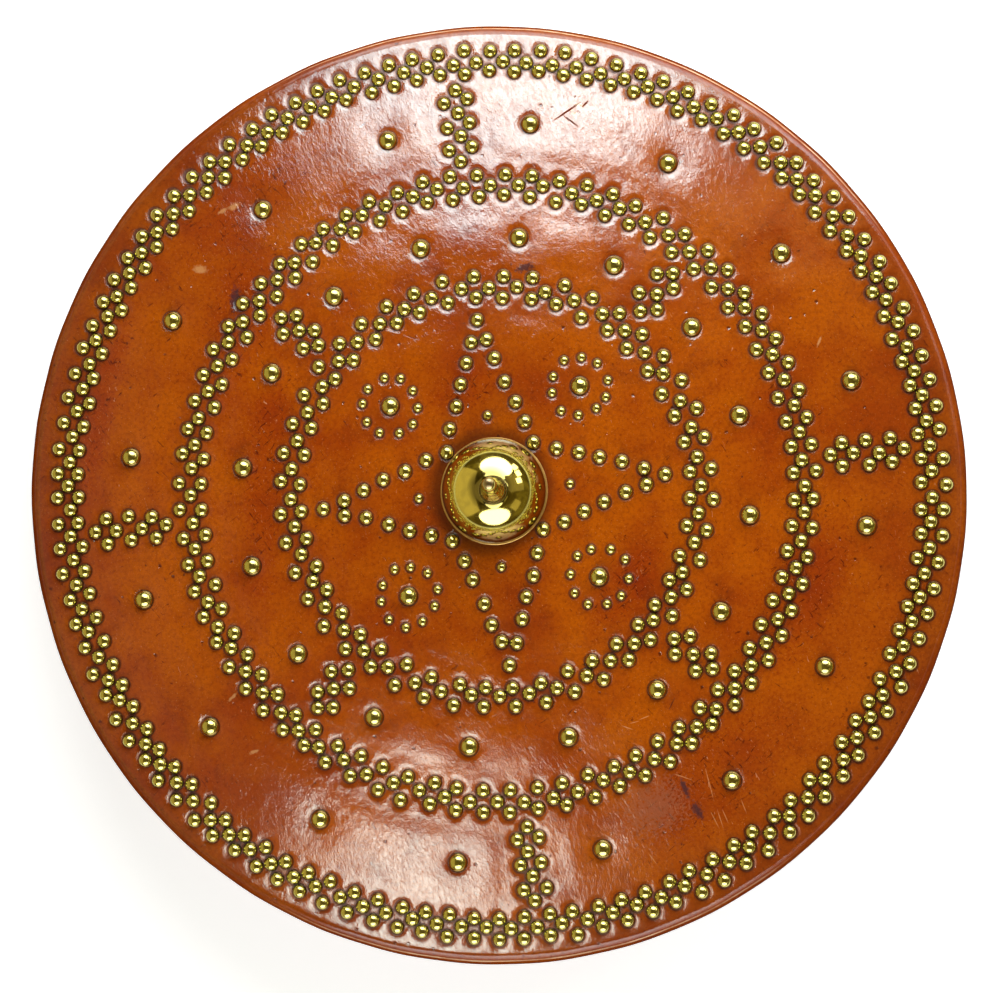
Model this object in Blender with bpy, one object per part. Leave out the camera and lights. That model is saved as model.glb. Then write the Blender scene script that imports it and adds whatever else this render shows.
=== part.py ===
"""A Highland targe: a round wooden shield covered in leather, set with domed brass nails.

The shield lies face up on its two back straps. +Z comes out of the face, the star's tips point
along X and Y, and the origin is the middle of the surface that it lies on. Metres throughout.
"""

import math

import bmesh
import bpy
from mathutils import Matrix, Vector

# ---- Driving dimensions -------------------------------------------------------------------

GAP = 0.0003  # left between pieces that touch

# The board and the hide over it
SHIELD_RADIUS = 0.254
BOARD_THICKNESS = 0.012
BOARD_EDGE_ROUND = 0.004
LEATHER = 0.0026
TURN_IN = 0.026  # width of hide turned over the back
ROUND_STEPS = 72
EDGE_STEPS = 3
OVAL = 0.0008  # how far the hand-cut outline leaves a true circle, twice round
OVAL_ANGLE = math.radians(127.5)
TRILOBE = 0.0002  # and three times round

# The straps it lies on
LOOP_CLEARANCE = 0.045  # from the board's back to the inside of a loop
TAB_BEND_RADIUS = 0.008
CROWN_BEND_RADIUS = 0.014
LEG_ANGLE = math.radians(75)
BEND_STEPS = 5
ARM_STRAP = {"x": 0.088, "width": 0.050, "thickness": 0.004, "crown": 0.100, "tab": 0.030}
HAND_GRIP = {"x": -0.092, "width": 0.030, "thickness": 0.005, "crown": 0.076, "tab": 0.027}
STRAP_EDGE_BEVEL = 0.0008

# The nail pattern, laid out by hand a little off the disc's centre
PATTERN_CENTRE = Vector((0.0018, -0.0006, 0.0))
LARGE_STUD_RADIUS = 0.0052
LARGE_STUD_HEIGHT = 0.0047
OUTER_STUD_RING = 0.1998
INNER_STUD_RING = 0.1377
ROSETTE_RING = 0.0730
STUDS_PER_RING = 16
ROSETTES = 4

# The boss
BOSS_RADIUS = 0.0282
BOSS_WALL = 0.0031
BOSS_FLANGE = 0.0010  # its foot stands out by this, and is this thick
BOSS_STEPS = 32
KNOB_HEIGHT = 0.020
KNOB_FOOT_RADIUS = 0.0070
KNOB_TIP_RADIUS = 0.0040
KNOB_FILLET = 0.0032
KNOB_LEAN = math.tan(math.radians(5.5))
KNOB_LEAN_DIRECTION = Vector((0.10, 0.995, 0.0))

# The rivets of the straps
RIVET_RADIUS = 0.0045
RIVET_HEIGHT = 0.0024

# ---- Levels worked out from them ----------------------------------------------------------

BACK_Z = ARM_STRAP["thickness"] + LOOP_CLEARANCE
BOARD_TOP_Z = BACK_Z + BOARD_THICKNESS
FACE_Z = BOARD_TOP_Z + GAP + LEATHER
TURN_IN_Z = BACK_Z - GAP - LEATHER
BOSS_FOOT_Z = FACE_Z + GAP


def clear_scene():
    for obj in list(bpy.data.objects):
        bpy.data.objects.remove(obj)


def material(name, colour, roughness, metallic=0.0):
    made = bpy.data.materials.new(name)
    made.use_nodes = True
    shader = made.node_tree.nodes["Principled BSDF"]
    shader.inputs["Base Color"].default_value = (*colour, 1.0)
    shader.inputs["Roughness"].default_value = roughness
    shader.inputs["Metallic"].default_value = metallic
    made.diffuse_color = (*colour, 1.0)
    return made


def new_object(name, mesh, finish):
    obj = bpy.data.objects.new(name, mesh)
    bpy.context.scene.collection.objects.link(obj)
    if not mesh.materials:
        mesh.materials.append(finish)
    return obj


def finished_mesh(name, shape, sharp_angle=40):
    """Turns a bmesh into a smooth-shaded mesh whose faces point out."""
    bmesh.ops.recalc_face_normals(shape, faces=shape.faces)
    mesh = bpy.data.meshes.new(name)
    shape.to_mesh(mesh)
    shape.free()
    mesh.shade_smooth()
    mesh.set_sharp_from_angle(angle=math.radians(sharp_angle))
    return mesh


def arc(centre_r, centre_z, radius, start, end, steps):
    """Points (r, z) on an arc, with its angles in degrees from the outward radial direction."""
    angles = [math.radians(start + (end - start) * i / steps) for i in range(steps + 1)]
    return [(centre_r + radius * math.cos(a), centre_z + radius * math.sin(a)) for a in angles]


def turned(profile, steps, closed=True):
    """Spins a profile of (r, z) points about the Z axis and welds it where it meets the axis."""
    shape = bmesh.new()
    points = [shape.verts.new((r, 0.0, z)) for r, z in profile]
    pairs = list(zip(points, points[1:]))
    if closed:
        pairs.append((points[-1], points[0]))
    edges = [shape.edges.new(pair) for pair in pairs]
    bmesh.ops.spin(
        shape,
        geom=points + edges,
        cent=(0, 0, 0),
        axis=(0, 0, 1),
        angle=math.tau,
        steps=steps,
        use_merge=True,
    )
    bmesh.ops.remove_doubles(shape, verts=shape.verts, dist=1e-6)
    return shape


def follow_hand_cut_outline(shape):
    """Moves the rim of a turned disc in and out by the small amounts that a hand-cut board shows."""
    for vert in shape.verts:
        reach = math.hypot(vert.co.x, vert.co.y) / SHIELD_RADIUS
        angle = math.atan2(vert.co.y, vert.co.x)
        wave = OVAL * math.cos(2 * (angle - OVAL_ANGLE)) + TRILOBE * math.cos(3 * angle)
        stretch = 1 + reach**4 * wave / SHIELD_RADIUS
        vert.co.x *= stretch
        vert.co.y *= stretch


def centre_outline(*meshes):
    """Shifts the discs together so that the outline's box is centred on the origin."""
    spread = [vert.co for mesh in meshes for vert in mesh.vertices]
    middle_x = (max(p.x for p in spread) + min(p.x for p in spread)) / 2
    middle_y = (max(p.y for p in spread) + min(p.y for p in spread)) / 2
    for mesh in meshes:
        mesh.transform(Matrix.Translation((-middle_x, -middle_y, 0)))


# ---- The disc -----------------------------------------------------------------------------


def board_mesh():
    radius = SHIELD_RADIUS - LEATHER - GAP
    inset = radius - BOARD_EDGE_ROUND
    profile = [(0, BOARD_TOP_Z)]
    profile += arc(inset, BOARD_TOP_Z - BOARD_EDGE_ROUND, BOARD_EDGE_ROUND, 90, 0, EDGE_STEPS)
    profile += arc(inset, BACK_Z + BOARD_EDGE_ROUND, BOARD_EDGE_ROUND, 0, -90, EDGE_STEPS)
    profile += [(0, BACK_Z)]
    shape = turned(profile, ROUND_STEPS, closed=False)
    follow_hand_cut_outline(shape)
    return finished_mesh("board", shape)


def face_leather_mesh():
    """One hide, shown as a shell: over the face, round the rim and TURN_IN over the back."""
    inner_round = BOARD_EDGE_ROUND + GAP
    outer_round = inner_round + LEATHER
    inset = SHIELD_RADIUS - outer_round
    top = FACE_Z - outer_round
    bottom = TURN_IN_Z + outer_round
    turned_edge = SHIELD_RADIUS - TURN_IN
    profile = [(0, FACE_Z)]
    profile += arc(inset, top, outer_round, 90, 0, EDGE_STEPS + 1)
    profile += arc(inset, bottom, outer_round, 0, -90, EDGE_STEPS + 1)
    profile += [(turned_edge, TURN_IN_Z), (turned_edge, TURN_IN_Z + LEATHER)]
    profile += arc(inset, bottom, inner_round, -90, 0, EDGE_STEPS)
    profile += arc(inset, top, inner_round, 0, 90, EDGE_STEPS)
    profile += [(0, FACE_Z - LEATHER)]
    shape = turned(profile, ROUND_STEPS, closed=False)
    follow_hand_cut_outline(shape)
    return finished_mesh("face_leather", shape)


def build_disc():
    wood = material("board_wood", (0.36, 0.22, 0.11), 0.65)
    hide = material("face_hide", (0.38, 0.07, 0.005), 0.32)
    board = board_mesh()
    leather = face_leather_mesh()
    centre_outline(leather, board)
    new_object("board", board, wood)
    new_object("face_leather", leather, hide)


# ---- The boss -----------------------------------------------------------------------------


def boss_profile():
    """From the knob's tip, down its side and the dome, round the foot and up inside."""
    dome_angle = math.degrees(math.acos((KNOB_FOOT_RADIUS + KNOB_FILLET) / BOSS_RADIUS))
    dome_top = math.sqrt(BOSS_RADIUS**2 - KNOB_FOOT_RADIUS**2)
    tip_centre = BOSS_RADIUS + KNOB_HEIGHT - KNOB_TIP_RADIUS
    waist = 0.5 * (KNOB_FOOT_RADIUS + KNOB_TIP_RADIUS)
    profile = arc(0, tip_centre, KNOB_TIP_RADIUS, 90, 10, 4)
    profile += [
        (waist, dome_top + 0.45 * KNOB_HEIGHT),
        (KNOB_FOOT_RADIUS, dome_top + KNOB_FILLET),
        (KNOB_FOOT_RADIUS + 0.3 * KNOB_FILLET, dome_top + 0.3 * KNOB_FILLET),
    ]
    profile += arc(0, 0, BOSS_RADIUS, dome_angle, 0, 8)
    profile[-1] = (BOSS_RADIUS, BOSS_FLANGE)
    profile += [(BOSS_RADIUS + BOSS_FLANGE, BOSS_FLANGE), (BOSS_RADIUS + BOSS_FLANGE, 0)]
    profile += arc(0, 0, BOSS_RADIUS - BOSS_WALL, 0, 90, 7)
    return [(r, BOSS_FOOT_Z + z) for r, z in profile]


def build_boss():
    brass = material("boss_brass", (0.62, 0.45, 0.13), 0.08, 1.0)
    shape = turned(boss_profile(), BOSS_STEPS, closed=False)
    knob_foot = BOSS_FOOT_Z + BOSS_RADIUS
    for vert in shape.verts:
        rise = max(0.0, vert.co.z - knob_foot)
        vert.co += rise * KNOB_LEAN * KNOB_LEAN_DIRECTION
    mesh = finished_mesh("boss", shape)
    mesh.transform(Matrix.Translation(PATTERN_CENTRE))
    new_object("boss", mesh, brass)


# ---- Domed nail heads ---------------------------------------------------------------------


def dome_mesh(name, radius, height, steps, rings):
    """A solid domed head with a flat foot, from its foot at z = 0 up to its height."""
    profile = [(0, height)]
    for i in range(1, rings + 1):
        angle = math.radians(90 * i / rings)
        profile.append((radius * math.sin(angle), height * math.cos(angle)))
    profile.append((0, 0))
    return finished_mesh(name, turned(profile, steps, closed=False), sharp_angle=60)


def build_large_studs():
    brass = material("stud_brass", (0.55, 0.43, 0.14), 0.18, 1.0)
    head = dome_mesh("large_stud", LARGE_STUD_RADIUS, LARGE_STUD_HEIGHT, steps=10, rings=3)
    foot = PATTERN_CENTRE + Vector((0, 0, FACE_Z + GAP))
    rings = [
        ("stud_outer_{:02d}", OUTER_STUD_RING, STUDS_PER_RING),
        ("stud_inner_{:02d}", INNER_STUD_RING, STUDS_PER_RING),
        ("stud_rosette_{}", ROSETTE_RING, ROSETTES),
    ]
    for name, ring_radius, count in rings:
        for i in range(count):
            angle = math.tau * (i + 0.5) / count
            stud = new_object(name.format(i + 1), head, brass)
            out = Vector((math.cos(angle), math.sin(angle), 0))
            stud.location = foot + ring_radius * out


# ---- The straps on the back ---------------------------------------------------------------


def loop_path(strap):
    """The middle line (y, z) of half a loop, from the end of its tab to the middle of its crown."""
    half = strap["thickness"] / 2
    tab_z = BACK_Z - GAP - half
    drop = tab_z - half
    bends = TAB_BEND_RADIUS + CROWN_BEND_RADIUS
    leg = (drop - bends * (1 - math.cos(LEG_ANGLE))) / math.sin(LEG_ANGLE)
    crown_y = strap["crown"] / 2
    foot_y = crown_y + bends * math.sin(LEG_ANGLE) + leg * math.cos(LEG_ANGLE)
    turns = [LEG_ANGLE * i / BEND_STEPS for i in range(BEND_STEPS + 1)]
    path = [(foot_y + strap["tab"], tab_z)]
    path += [
        (foot_y - TAB_BEND_RADIUS * math.sin(a), tab_z - TAB_BEND_RADIUS * (1 - math.cos(a)))
        for a in turns
    ]
    path += [
        (crown_y + CROWN_BEND_RADIUS * math.sin(a), half + CROWN_BEND_RADIUS * (1 - math.cos(a)))
        for a in reversed(turns)
    ]
    return path


def strap_stations(strap):
    """Where each cross-section of the strap stands, which way its thickness runs, how wide it is."""
    half_path = loop_path(strap)
    path = half_path + [(-y, z) for y, z in reversed(half_path)]
    end_y, end_z = path[0]
    corner = strap["width"] / 4  # the tab's corners are cut back by this
    path = [(end_y, end_z), (end_y - corner, end_z), *path[1:-1]]
    path += [(corner - end_y, end_z), (-end_y, end_z)]
    stations = []
    for i, (y, z) in enumerate(path):
        before = Vector(path[max(i - 1, 0)])
        after = Vector(path[min(i + 1, len(path) - 1)])
        along = (after - before).normalized()
        at_end = i in (0, len(path) - 1)
        width = strap["width"] - 2 * corner if at_end else strap["width"]
        stations.append((y, z, Vector((-along.y, along.x)), width))
    return stations


def strap_mesh(name, strap):
    shape = bmesh.new()
    half = strap["thickness"] / 2
    rings = []
    for y, z, across, width in strap_stations(strap):
        corners = []
        for side, face in ((-1, -1), (1, -1), (1, 1), (-1, 1)):
            place = Vector((y, z)) + across * face * half
            corners.append(shape.verts.new((side * width / 2, place.x, place.y)))
        rings.append(corners)
    for ring, following in zip(rings, rings[1:]):
        for i in range(4):
            j = (i + 1) % 4
            shape.faces.new((ring[i], ring[j], following[j], following[i]))
    shape.faces.new(reversed(rings[0]))
    shape.faces.new(rings[-1])
    mesh = finished_mesh(name, shape)
    mesh.transform(Matrix.Translation((strap["x"], 0, 0)))
    return mesh


def rivet_places(strap):
    """Three rivets to each tab: two side by side next to the bend, one towards the end."""
    tab_foot = loop_path(strap)[1][0]
    for end in (-1, 1):
        for across, along in ((-0.28, 0.25), (0.28, 0.25), (0.0, 0.68)):
            y = end * (tab_foot + along * strap["tab"])
            yield strap["x"] + across * strap["width"], y


def build_straps():
    hide = material("strap_hide", (0.10, 0.035, 0.012), 0.5)
    brass = material("rivet_brass", (0.50, 0.36, 0.12), 0.3, 1.0)
    head = dome_mesh("rivet", RIVET_RADIUS, RIVET_HEIGHT, steps=8, rings=2)
    head.transform(Matrix.Diagonal((1, -1, -1, 1)))  # turned over, so it points down from the tab
    number = 0
    for name, strap in (("arm_strap", ARM_STRAP), ("hand_grip", HAND_GRIP)):
        obj = new_object(name, strap_mesh(name, strap), hide)
        bevel = obj.modifiers.new("edges", "BEVEL")
        bevel.width = STRAP_EDGE_BEVEL
        bevel.segments = 1
        bevel.limit_method = "ANGLE"
        bevel.angle_limit = math.radians(50)
        tab_z = BACK_Z - GAP - strap["thickness"] - GAP
        for x, y in rivet_places(strap):
            number += 1
            rivet = new_object(f"strap_rivet_{number:02d}", head, brass)
            rivet.location = (x, y, tab_z)


clear_scene()
build_disc()
build_boss()
build_large_studs()
build_straps()
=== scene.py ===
"""A Highland targe with its finished surfaces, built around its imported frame.

Metres. +Z comes out of the shield's face, X lies along the forearm behind it, and the shield lies
face up on its two straps. The sections follow the making: board, hide, nails, boss, straps.
"""

import math

import bmesh
import bpy
import numpy as np
from mathutils import Matrix, Vector, geometry, noise


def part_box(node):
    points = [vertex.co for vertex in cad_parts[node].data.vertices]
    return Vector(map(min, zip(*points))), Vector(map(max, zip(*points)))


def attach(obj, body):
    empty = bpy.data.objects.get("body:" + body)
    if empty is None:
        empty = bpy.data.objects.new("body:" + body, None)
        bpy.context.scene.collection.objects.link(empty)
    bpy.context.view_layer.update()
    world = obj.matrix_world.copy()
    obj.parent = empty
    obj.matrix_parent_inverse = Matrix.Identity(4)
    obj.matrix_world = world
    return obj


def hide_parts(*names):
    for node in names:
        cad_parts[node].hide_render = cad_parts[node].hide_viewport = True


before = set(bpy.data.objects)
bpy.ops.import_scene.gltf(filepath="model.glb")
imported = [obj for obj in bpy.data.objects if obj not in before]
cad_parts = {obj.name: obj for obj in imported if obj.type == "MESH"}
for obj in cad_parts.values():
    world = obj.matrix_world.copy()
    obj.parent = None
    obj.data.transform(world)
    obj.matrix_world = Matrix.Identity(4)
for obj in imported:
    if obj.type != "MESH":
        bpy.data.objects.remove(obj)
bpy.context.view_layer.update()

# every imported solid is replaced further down, so none keeps its plain finish
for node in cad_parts.values():
    node.data.materials.clear()

# ---- The camera ---------------------------------------------------------------------------
# A long lens looks down on the face from a metre and a half, a few degrees off the square.
# It is turned a little about its own line of sight, so the star of nails stands askew.

hide_low, hide_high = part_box("face_leather")
FACE_Z = hide_high.z
CAMERA_TARGET = Vector((0.0046, -0.0038, FACE_Z))
CAMERA_DIRECTION = Vector((0.0883, -0.0631, 1.0)).normalized()
CAMERA_DISTANCE = 1.5
CAMERA_TURN = math.radians(5.66)
CAMERA_LENS_MM = 100.4
SENSOR_WIDTH_MM = 36


def aimed(place, target, up):
    """The matrix that stands a camera or light at a place and turns its -Z to the target."""
    back = (place - target).normalized()
    side = up.cross(back).normalized()
    over = back.cross(side)
    turn = Matrix((side, over, back)).transposed()
    return Matrix.Translation(place) @ turn.to_4x4()


camera_data = bpy.data.cameras.new("camera")
camera_data.lens = CAMERA_LENS_MM
camera_data.sensor_width = SENSOR_WIDTH_MM
camera = bpy.data.objects.new("camera", camera_data)
camera.matrix_world = aimed(
    CAMERA_TARGET + CAMERA_DISTANCE * CAMERA_DIRECTION,
    CAMERA_TARGET,
    Vector((math.sin(CAMERA_TURN), math.cos(CAMERA_TURN), 0)),
)
bpy.context.scene.collection.objects.link(camera)
bpy.context.scene.camera = camera

# ---- Floor and light ----------------------------------------------------------------------
# A white studio sweep that glows like a light table, so the shield throws next to no shadow.
# Two oval umbrellas stand above and below the shield, a wide reflector at its left, and windows,
# a ceiling and a small reflector at its right. The sheen lamps light nothing but the hide.

FLOOR_SIZE = 12.0
FLOOR_COLOUR = "#f7f7f7"
FLOOR_GLOW = 0.57
FLOOR_GLOW_COLOUR = "#ecf5ff"
ROOM_DARK = "#5c4c20"
ROOM_PALE = "#8c7a3c"
ROOM_PATCHES = 2.1
SOFT_LAMP_BEHIND = 1.03


def hex_colour(code):
    """An sRGB hex colour as the linear RGBA that a shader takes."""
    channels = [int(code[i : i + 2], 16) / 255 for i in (1, 3, 5)]
    return (*[c / 12.92 if c <= 0.04045 else ((c + 0.055) / 1.055) ** 2.4 for c in channels], 1.0)


def add_node(tree, kind, inputs=None, **settings):
    """Adds a node with its settings. An input takes a value, a socket, or a node's first output."""
    node = tree.nodes.new(kind)
    for name, value in settings.items():
        setattr(node, name, value)
    by_identifier = {socket.identifier: socket for socket in node.inputs}
    for key, value in (inputs or {}).items():
        socket = by_identifier.get(key) or node.inputs[key]
        if isinstance(value, bpy.types.Node):
            value = next(output for output in value.outputs if output.enabled)
        if isinstance(value, bpy.types.NodeSocket):
            tree.links.new(value, socket)
        else:
            socket.default_value = value
    return node


def new_material(name):
    """An empty node material and its tree."""
    made = bpy.data.materials.new(name)
    made.use_nodes = True
    made.node_tree.nodes.clear()
    return made, made.node_tree


def new_piece(name, mesh, finish=None):
    """Links a mesh as an object at the origin."""
    piece = bpy.data.objects.new(name, mesh)
    bpy.context.scene.collection.objects.link(piece)
    if finish:
        mesh.materials.clear()
        mesh.materials.append(finish)
    return piece


def white_sweep():
    """Matt white paper that glows a little, so that the ground reads as plain white."""
    finish, tree = new_material("white_sweep_paper")
    shader = add_node(tree, "ShaderNodeBsdfPrincipled", {
        "Base Color": hex_colour(FLOOR_COLOUR),
        "Roughness": 0.9,
        "Emission Color": hex_colour(FLOOR_GLOW_COLOUR),
        "Emission Strength": FLOOR_GLOW,
    })
    add_node(tree, "ShaderNodeOutputMaterial", {"Surface": shader})
    return finish


floor_shape = bmesh.new()
bmesh.ops.create_grid(floor_shape, x_segments=1, y_segments=1, size=FLOOR_SIZE / 2)
floor_mesh = bpy.data.meshes.new("floor")
floor_shape.to_mesh(floor_mesh)
floor_shape.free()
new_piece("floor", floor_mesh, white_sweep())

room = bpy.data.worlds.new("room")
room.use_nodes = True
room.node_tree.nodes.clear()
outward = add_node(room.node_tree, "ShaderNodeTexCoord").outputs["Generated"]
clutter = add_node(room.node_tree, "ShaderNodeTexNoise", {
    "Vector": outward, "Scale": ROOM_PATCHES, "Detail": 3.0, "Roughness": 0.55, "Distortion": 0.8,
})
patches = add_node(room.node_tree, "ShaderNodeMapRange", {
    "Value": clutter, "From Min": 0.44, "From Max": 0.62,
})
walls = add_node(room.node_tree, "ShaderNodeMix", {
    "Factor_Float": patches, "A_Color": hex_colour(ROOM_DARK), "B_Color": hex_colour(ROOM_PALE),
}, data_type="RGBA")
seen = add_node(room.node_tree, "ShaderNodeLightPath")
dim = add_node(room.node_tree, "ShaderNodeBackground", {"Color": walls, "Strength": 1.0})
pale = add_node(room.node_tree, "ShaderNodeBackground", {
    "Color": hex_colour("#ffffff"), "Strength": 1.0,
})
sky = add_node(room.node_tree, "ShaderNodeMixShader", {
    "Fac": seen.outputs["Is Camera Ray"],
    1: dim,
    2: pale,
})
add_node(room.node_tree, "ShaderNodeOutputWorld", {"Surface": sky})
bpy.context.scene.world = room
bpy.context.scene.view_settings.view_transform = "Standard"

# name, place, width, height, power for the soft light and for the shine, colour; the sheen lamps
# face straight down and give the leather the broad glare that the umbrellas leave out
LAMPS = (
    ("upper_umbrella", (0.26, 0.95, 0.78), 1.50, 1.00, 17.6, 26.9, "#ffffff"),
    ("lower_umbrella", (-0.02, -1.06, 0.62), 1.34, 0.86, 8.0, 16.2, "#ffffff"),
    ("left_reflector", (-1.12, 0.05, 0.62), 2.40, 1.25, 0.7, 5.2, "#ffe9a6"),
    ("corner_reflector", (1.10, -0.88, 0.75), 0.55, 0.45, 0.0, 0.32, "#ffe9a6"),
    ("right_ceiling", (1.00, 0.22, 0.85), 0.80, 0.95, 0.0, 0.60, "#ffe9b4"),
    ("far_window", (1.13, 1.02, 0.50), 0.30, 0.34, 3.2, 1.5, "#ffffff"),
    ("middle_window", (1.31, 0.72, 0.57), 0.30, 0.34, 3.2, 1.5, "#ffffff"),
    ("near_window", (1.38, 0.37, 0.73), 0.30, 0.34, 3.2, 1.5, "#ffffff"),
    ("upper_sheen", (-0.004, 0.479, 0.81), 0.35, 0.40, 0.0, 8.4, "#e0fcff"),
    ("upper_veil_sheen", (0.15, 0.46, 0.80), 0.52, 0.50, 0.0, 1.4, "#ffb45c"),
    ("lower_sheen", (-0.160, -0.290, 0.81), 0.15, 0.22, 0.0, 1.45, "#effff4"),
    ("lower_veil_sheen", (-0.14, -0.33, 0.80), 0.32, 0.32, 0.0, 0.25, "#ffc890"),
    ("left_ceiling_sheen", (-0.85, -0.05, 1.60), 0.70, 1.20, 0.0, 0.45, "#c8d4ff"),
)
sheen_catcher = bpy.data.collections.new("lit_by_sheen")
for name, place, width, height, soft, shine, colour in LAMPS:
    for job, power in (("soft", soft), ("shine", shine)):
        if power == 0:
            continue
        lamp = bpy.data.lights.new(name, "AREA")
        lamp.shape = "ELLIPSE" if "umbrella" in name or "sheen" in name else "RECTANGLE"
        lamp.size = width
        lamp.size_y = height
        lamp.energy = power
        lamp.color = hex_colour(colour)[:3]
        stand = bpy.data.objects.new(name + "_" + job, lamp)
        behind = SOFT_LAMP_BEHIND if job == "soft" else 1.0
        stand.matrix_world = aimed(Vector(place) * behind, CAMERA_TARGET, Vector((0, 0, 1)))
        if "sheen" in name:
            stand.matrix_world = Matrix.Translation(place)
            stand.light_linking.receiver_collection = sheen_catcher
        stand.visible_camera = False
        stand.visible_diffuse = job == "soft"
        stand.visible_glossy = job == "shine"
        bpy.context.scene.collection.objects.link(stand)

# ---- The board ----------------------------------------------------------------------------
# A disc of oak planks, edge to edge, planed and left bare at the back, where it shows inside
# the turned-in hide. The joints between the planks stand a little open.

PLANK_JOINTS = (-0.168, -0.087, 0.004, 0.083, 0.171)
JOINT_WIDTH = 0.0014
JOINT_DEPTH = 0.0016
BOARD_ROUND = 0.004
BOARD_STEPS = 180
SHIELD_RADIUS = 0.254
OUTLINE_OVAL = 0.0008
OUTLINE_OVAL_ANGLE = math.radians(127.5)
OUTLINE_TRILOBE = 0.0002
FLAT_ENOUGH = 1e-5
board_low, board_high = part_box("board")


def arc(centre_r, centre_z, radius, start, end, steps):
    """Points (r, z) on an arc, with its angles in degrees from the outward direction."""
    angles = np.radians(np.linspace(start, end, steps + 1))
    return [(centre_r + radius * math.cos(a), centre_z + radius * math.sin(a)) for a in angles]


def turned(profile, steps):
    """Spins a profile of (r, z) points about Z into a closed shape."""
    shape = bmesh.new()
    points = [shape.verts.new((r, 0.0, z)) for r, z in profile]
    edges = [shape.edges.new(pair) for pair in zip(points, points[1:])]
    bmesh.ops.spin(shape, geom=points + edges, cent=(0, 0, 0), axis=(0, 0, 1),
                   angle=math.tau, steps=steps, use_merge=True)
    bmesh.ops.remove_doubles(shape, verts=shape.verts, dist=1e-6)
    bmesh.ops.recalc_face_normals(shape, faces=shape.faces)
    return shape


def finished(name, shape, sharp_angle):
    """Turns a bmesh into a mesh that is smooth but for its sharp edges."""
    mesh = bpy.data.meshes.new(name)
    shape.to_mesh(mesh)
    shape.free()
    mesh.shade_smooth()
    mesh.set_sharp_from_angle(angle=math.radians(sharp_angle))
    return mesh


def hand_cut(points):
    """Moves points of a true disc to the outline that was sawn by hand, centred on the frame."""
    def pulled(p):
        """Where these points of the true disc lie after the sawing, not yet centred."""
        reach = np.hypot(p[:, 0], p[:, 1]) / SHIELD_RADIUS
        angle = np.arctan2(p[:, 1], p[:, 0])
        wave = OUTLINE_OVAL * np.cos(2 * (angle - OUTLINE_OVAL_ANGLE))
        wave = wave + OUTLINE_TRILOBE * np.cos(3 * angle)
        stretch = 1 + reach**4 * wave / SHIELD_RADIUS
        return p[:, :2] * stretch[:, None]

    turn = np.linspace(0, math.tau, 721)
    rim = pulled(SHIELD_RADIUS * np.stack([np.cos(turn), np.sin(turn)], 1))
    moved = np.array(points, float)
    moved[:, :2] = pulled(moved) - (rim.max(0) + rim.min(0)) / 2
    return moved


def reshape_mesh(mesh, change):
    """Puts every vertex of a mesh where the function change says."""
    points = np.empty(len(mesh.vertices) * 3)
    mesh.vertices.foreach_get("co", points)
    moved = change(points.reshape(-1, 3))
    mesh.vertices.foreach_set("co", moved.ravel())
    mesh.update()


def board_mesh():
    """The disc, cut along the plank joints, with a shallow V at each joint on the back."""
    radius = (board_high.x - board_low.x) / 2
    inset = radius - BOARD_ROUND
    profile = [(0, board_high.z)]
    profile += arc(inset, board_high.z - BOARD_ROUND, BOARD_ROUND, 90, 0, 4)
    profile += arc(inset, board_low.z + BOARD_ROUND, BOARD_ROUND, 0, -90, 4)
    profile += [(0, board_low.z)]
    shape = turned(profile, BOARD_STEPS)
    for joint in PLANK_JOINTS:
        for line in (joint - JOINT_WIDTH / 2, joint, joint + JOINT_WIDTH / 2):
            parts = list(shape.verts) + list(shape.edges) + list(shape.faces)
            bmesh.ops.bisect_plane(shape, geom=parts, plane_co=(line, 0, 0), plane_no=(1, 0, 0))
    for vert in shape.verts:
        on_back = abs(vert.co.z - board_low.z) < FLAT_ENOUGH
        if on_back and any(abs(vert.co.x - joint) < FLAT_ENOUGH for joint in PLANK_JOINTS):
            vert.co.z += JOINT_DEPTH
    plank = shape.faces.layers.float.new("plank")
    for face in shape.faces:
        middle = face.calc_center_median().x
        face[plank] = sum(middle > joint for joint in PLANK_JOINTS)
    return finished("board", shape, 35)


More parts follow.
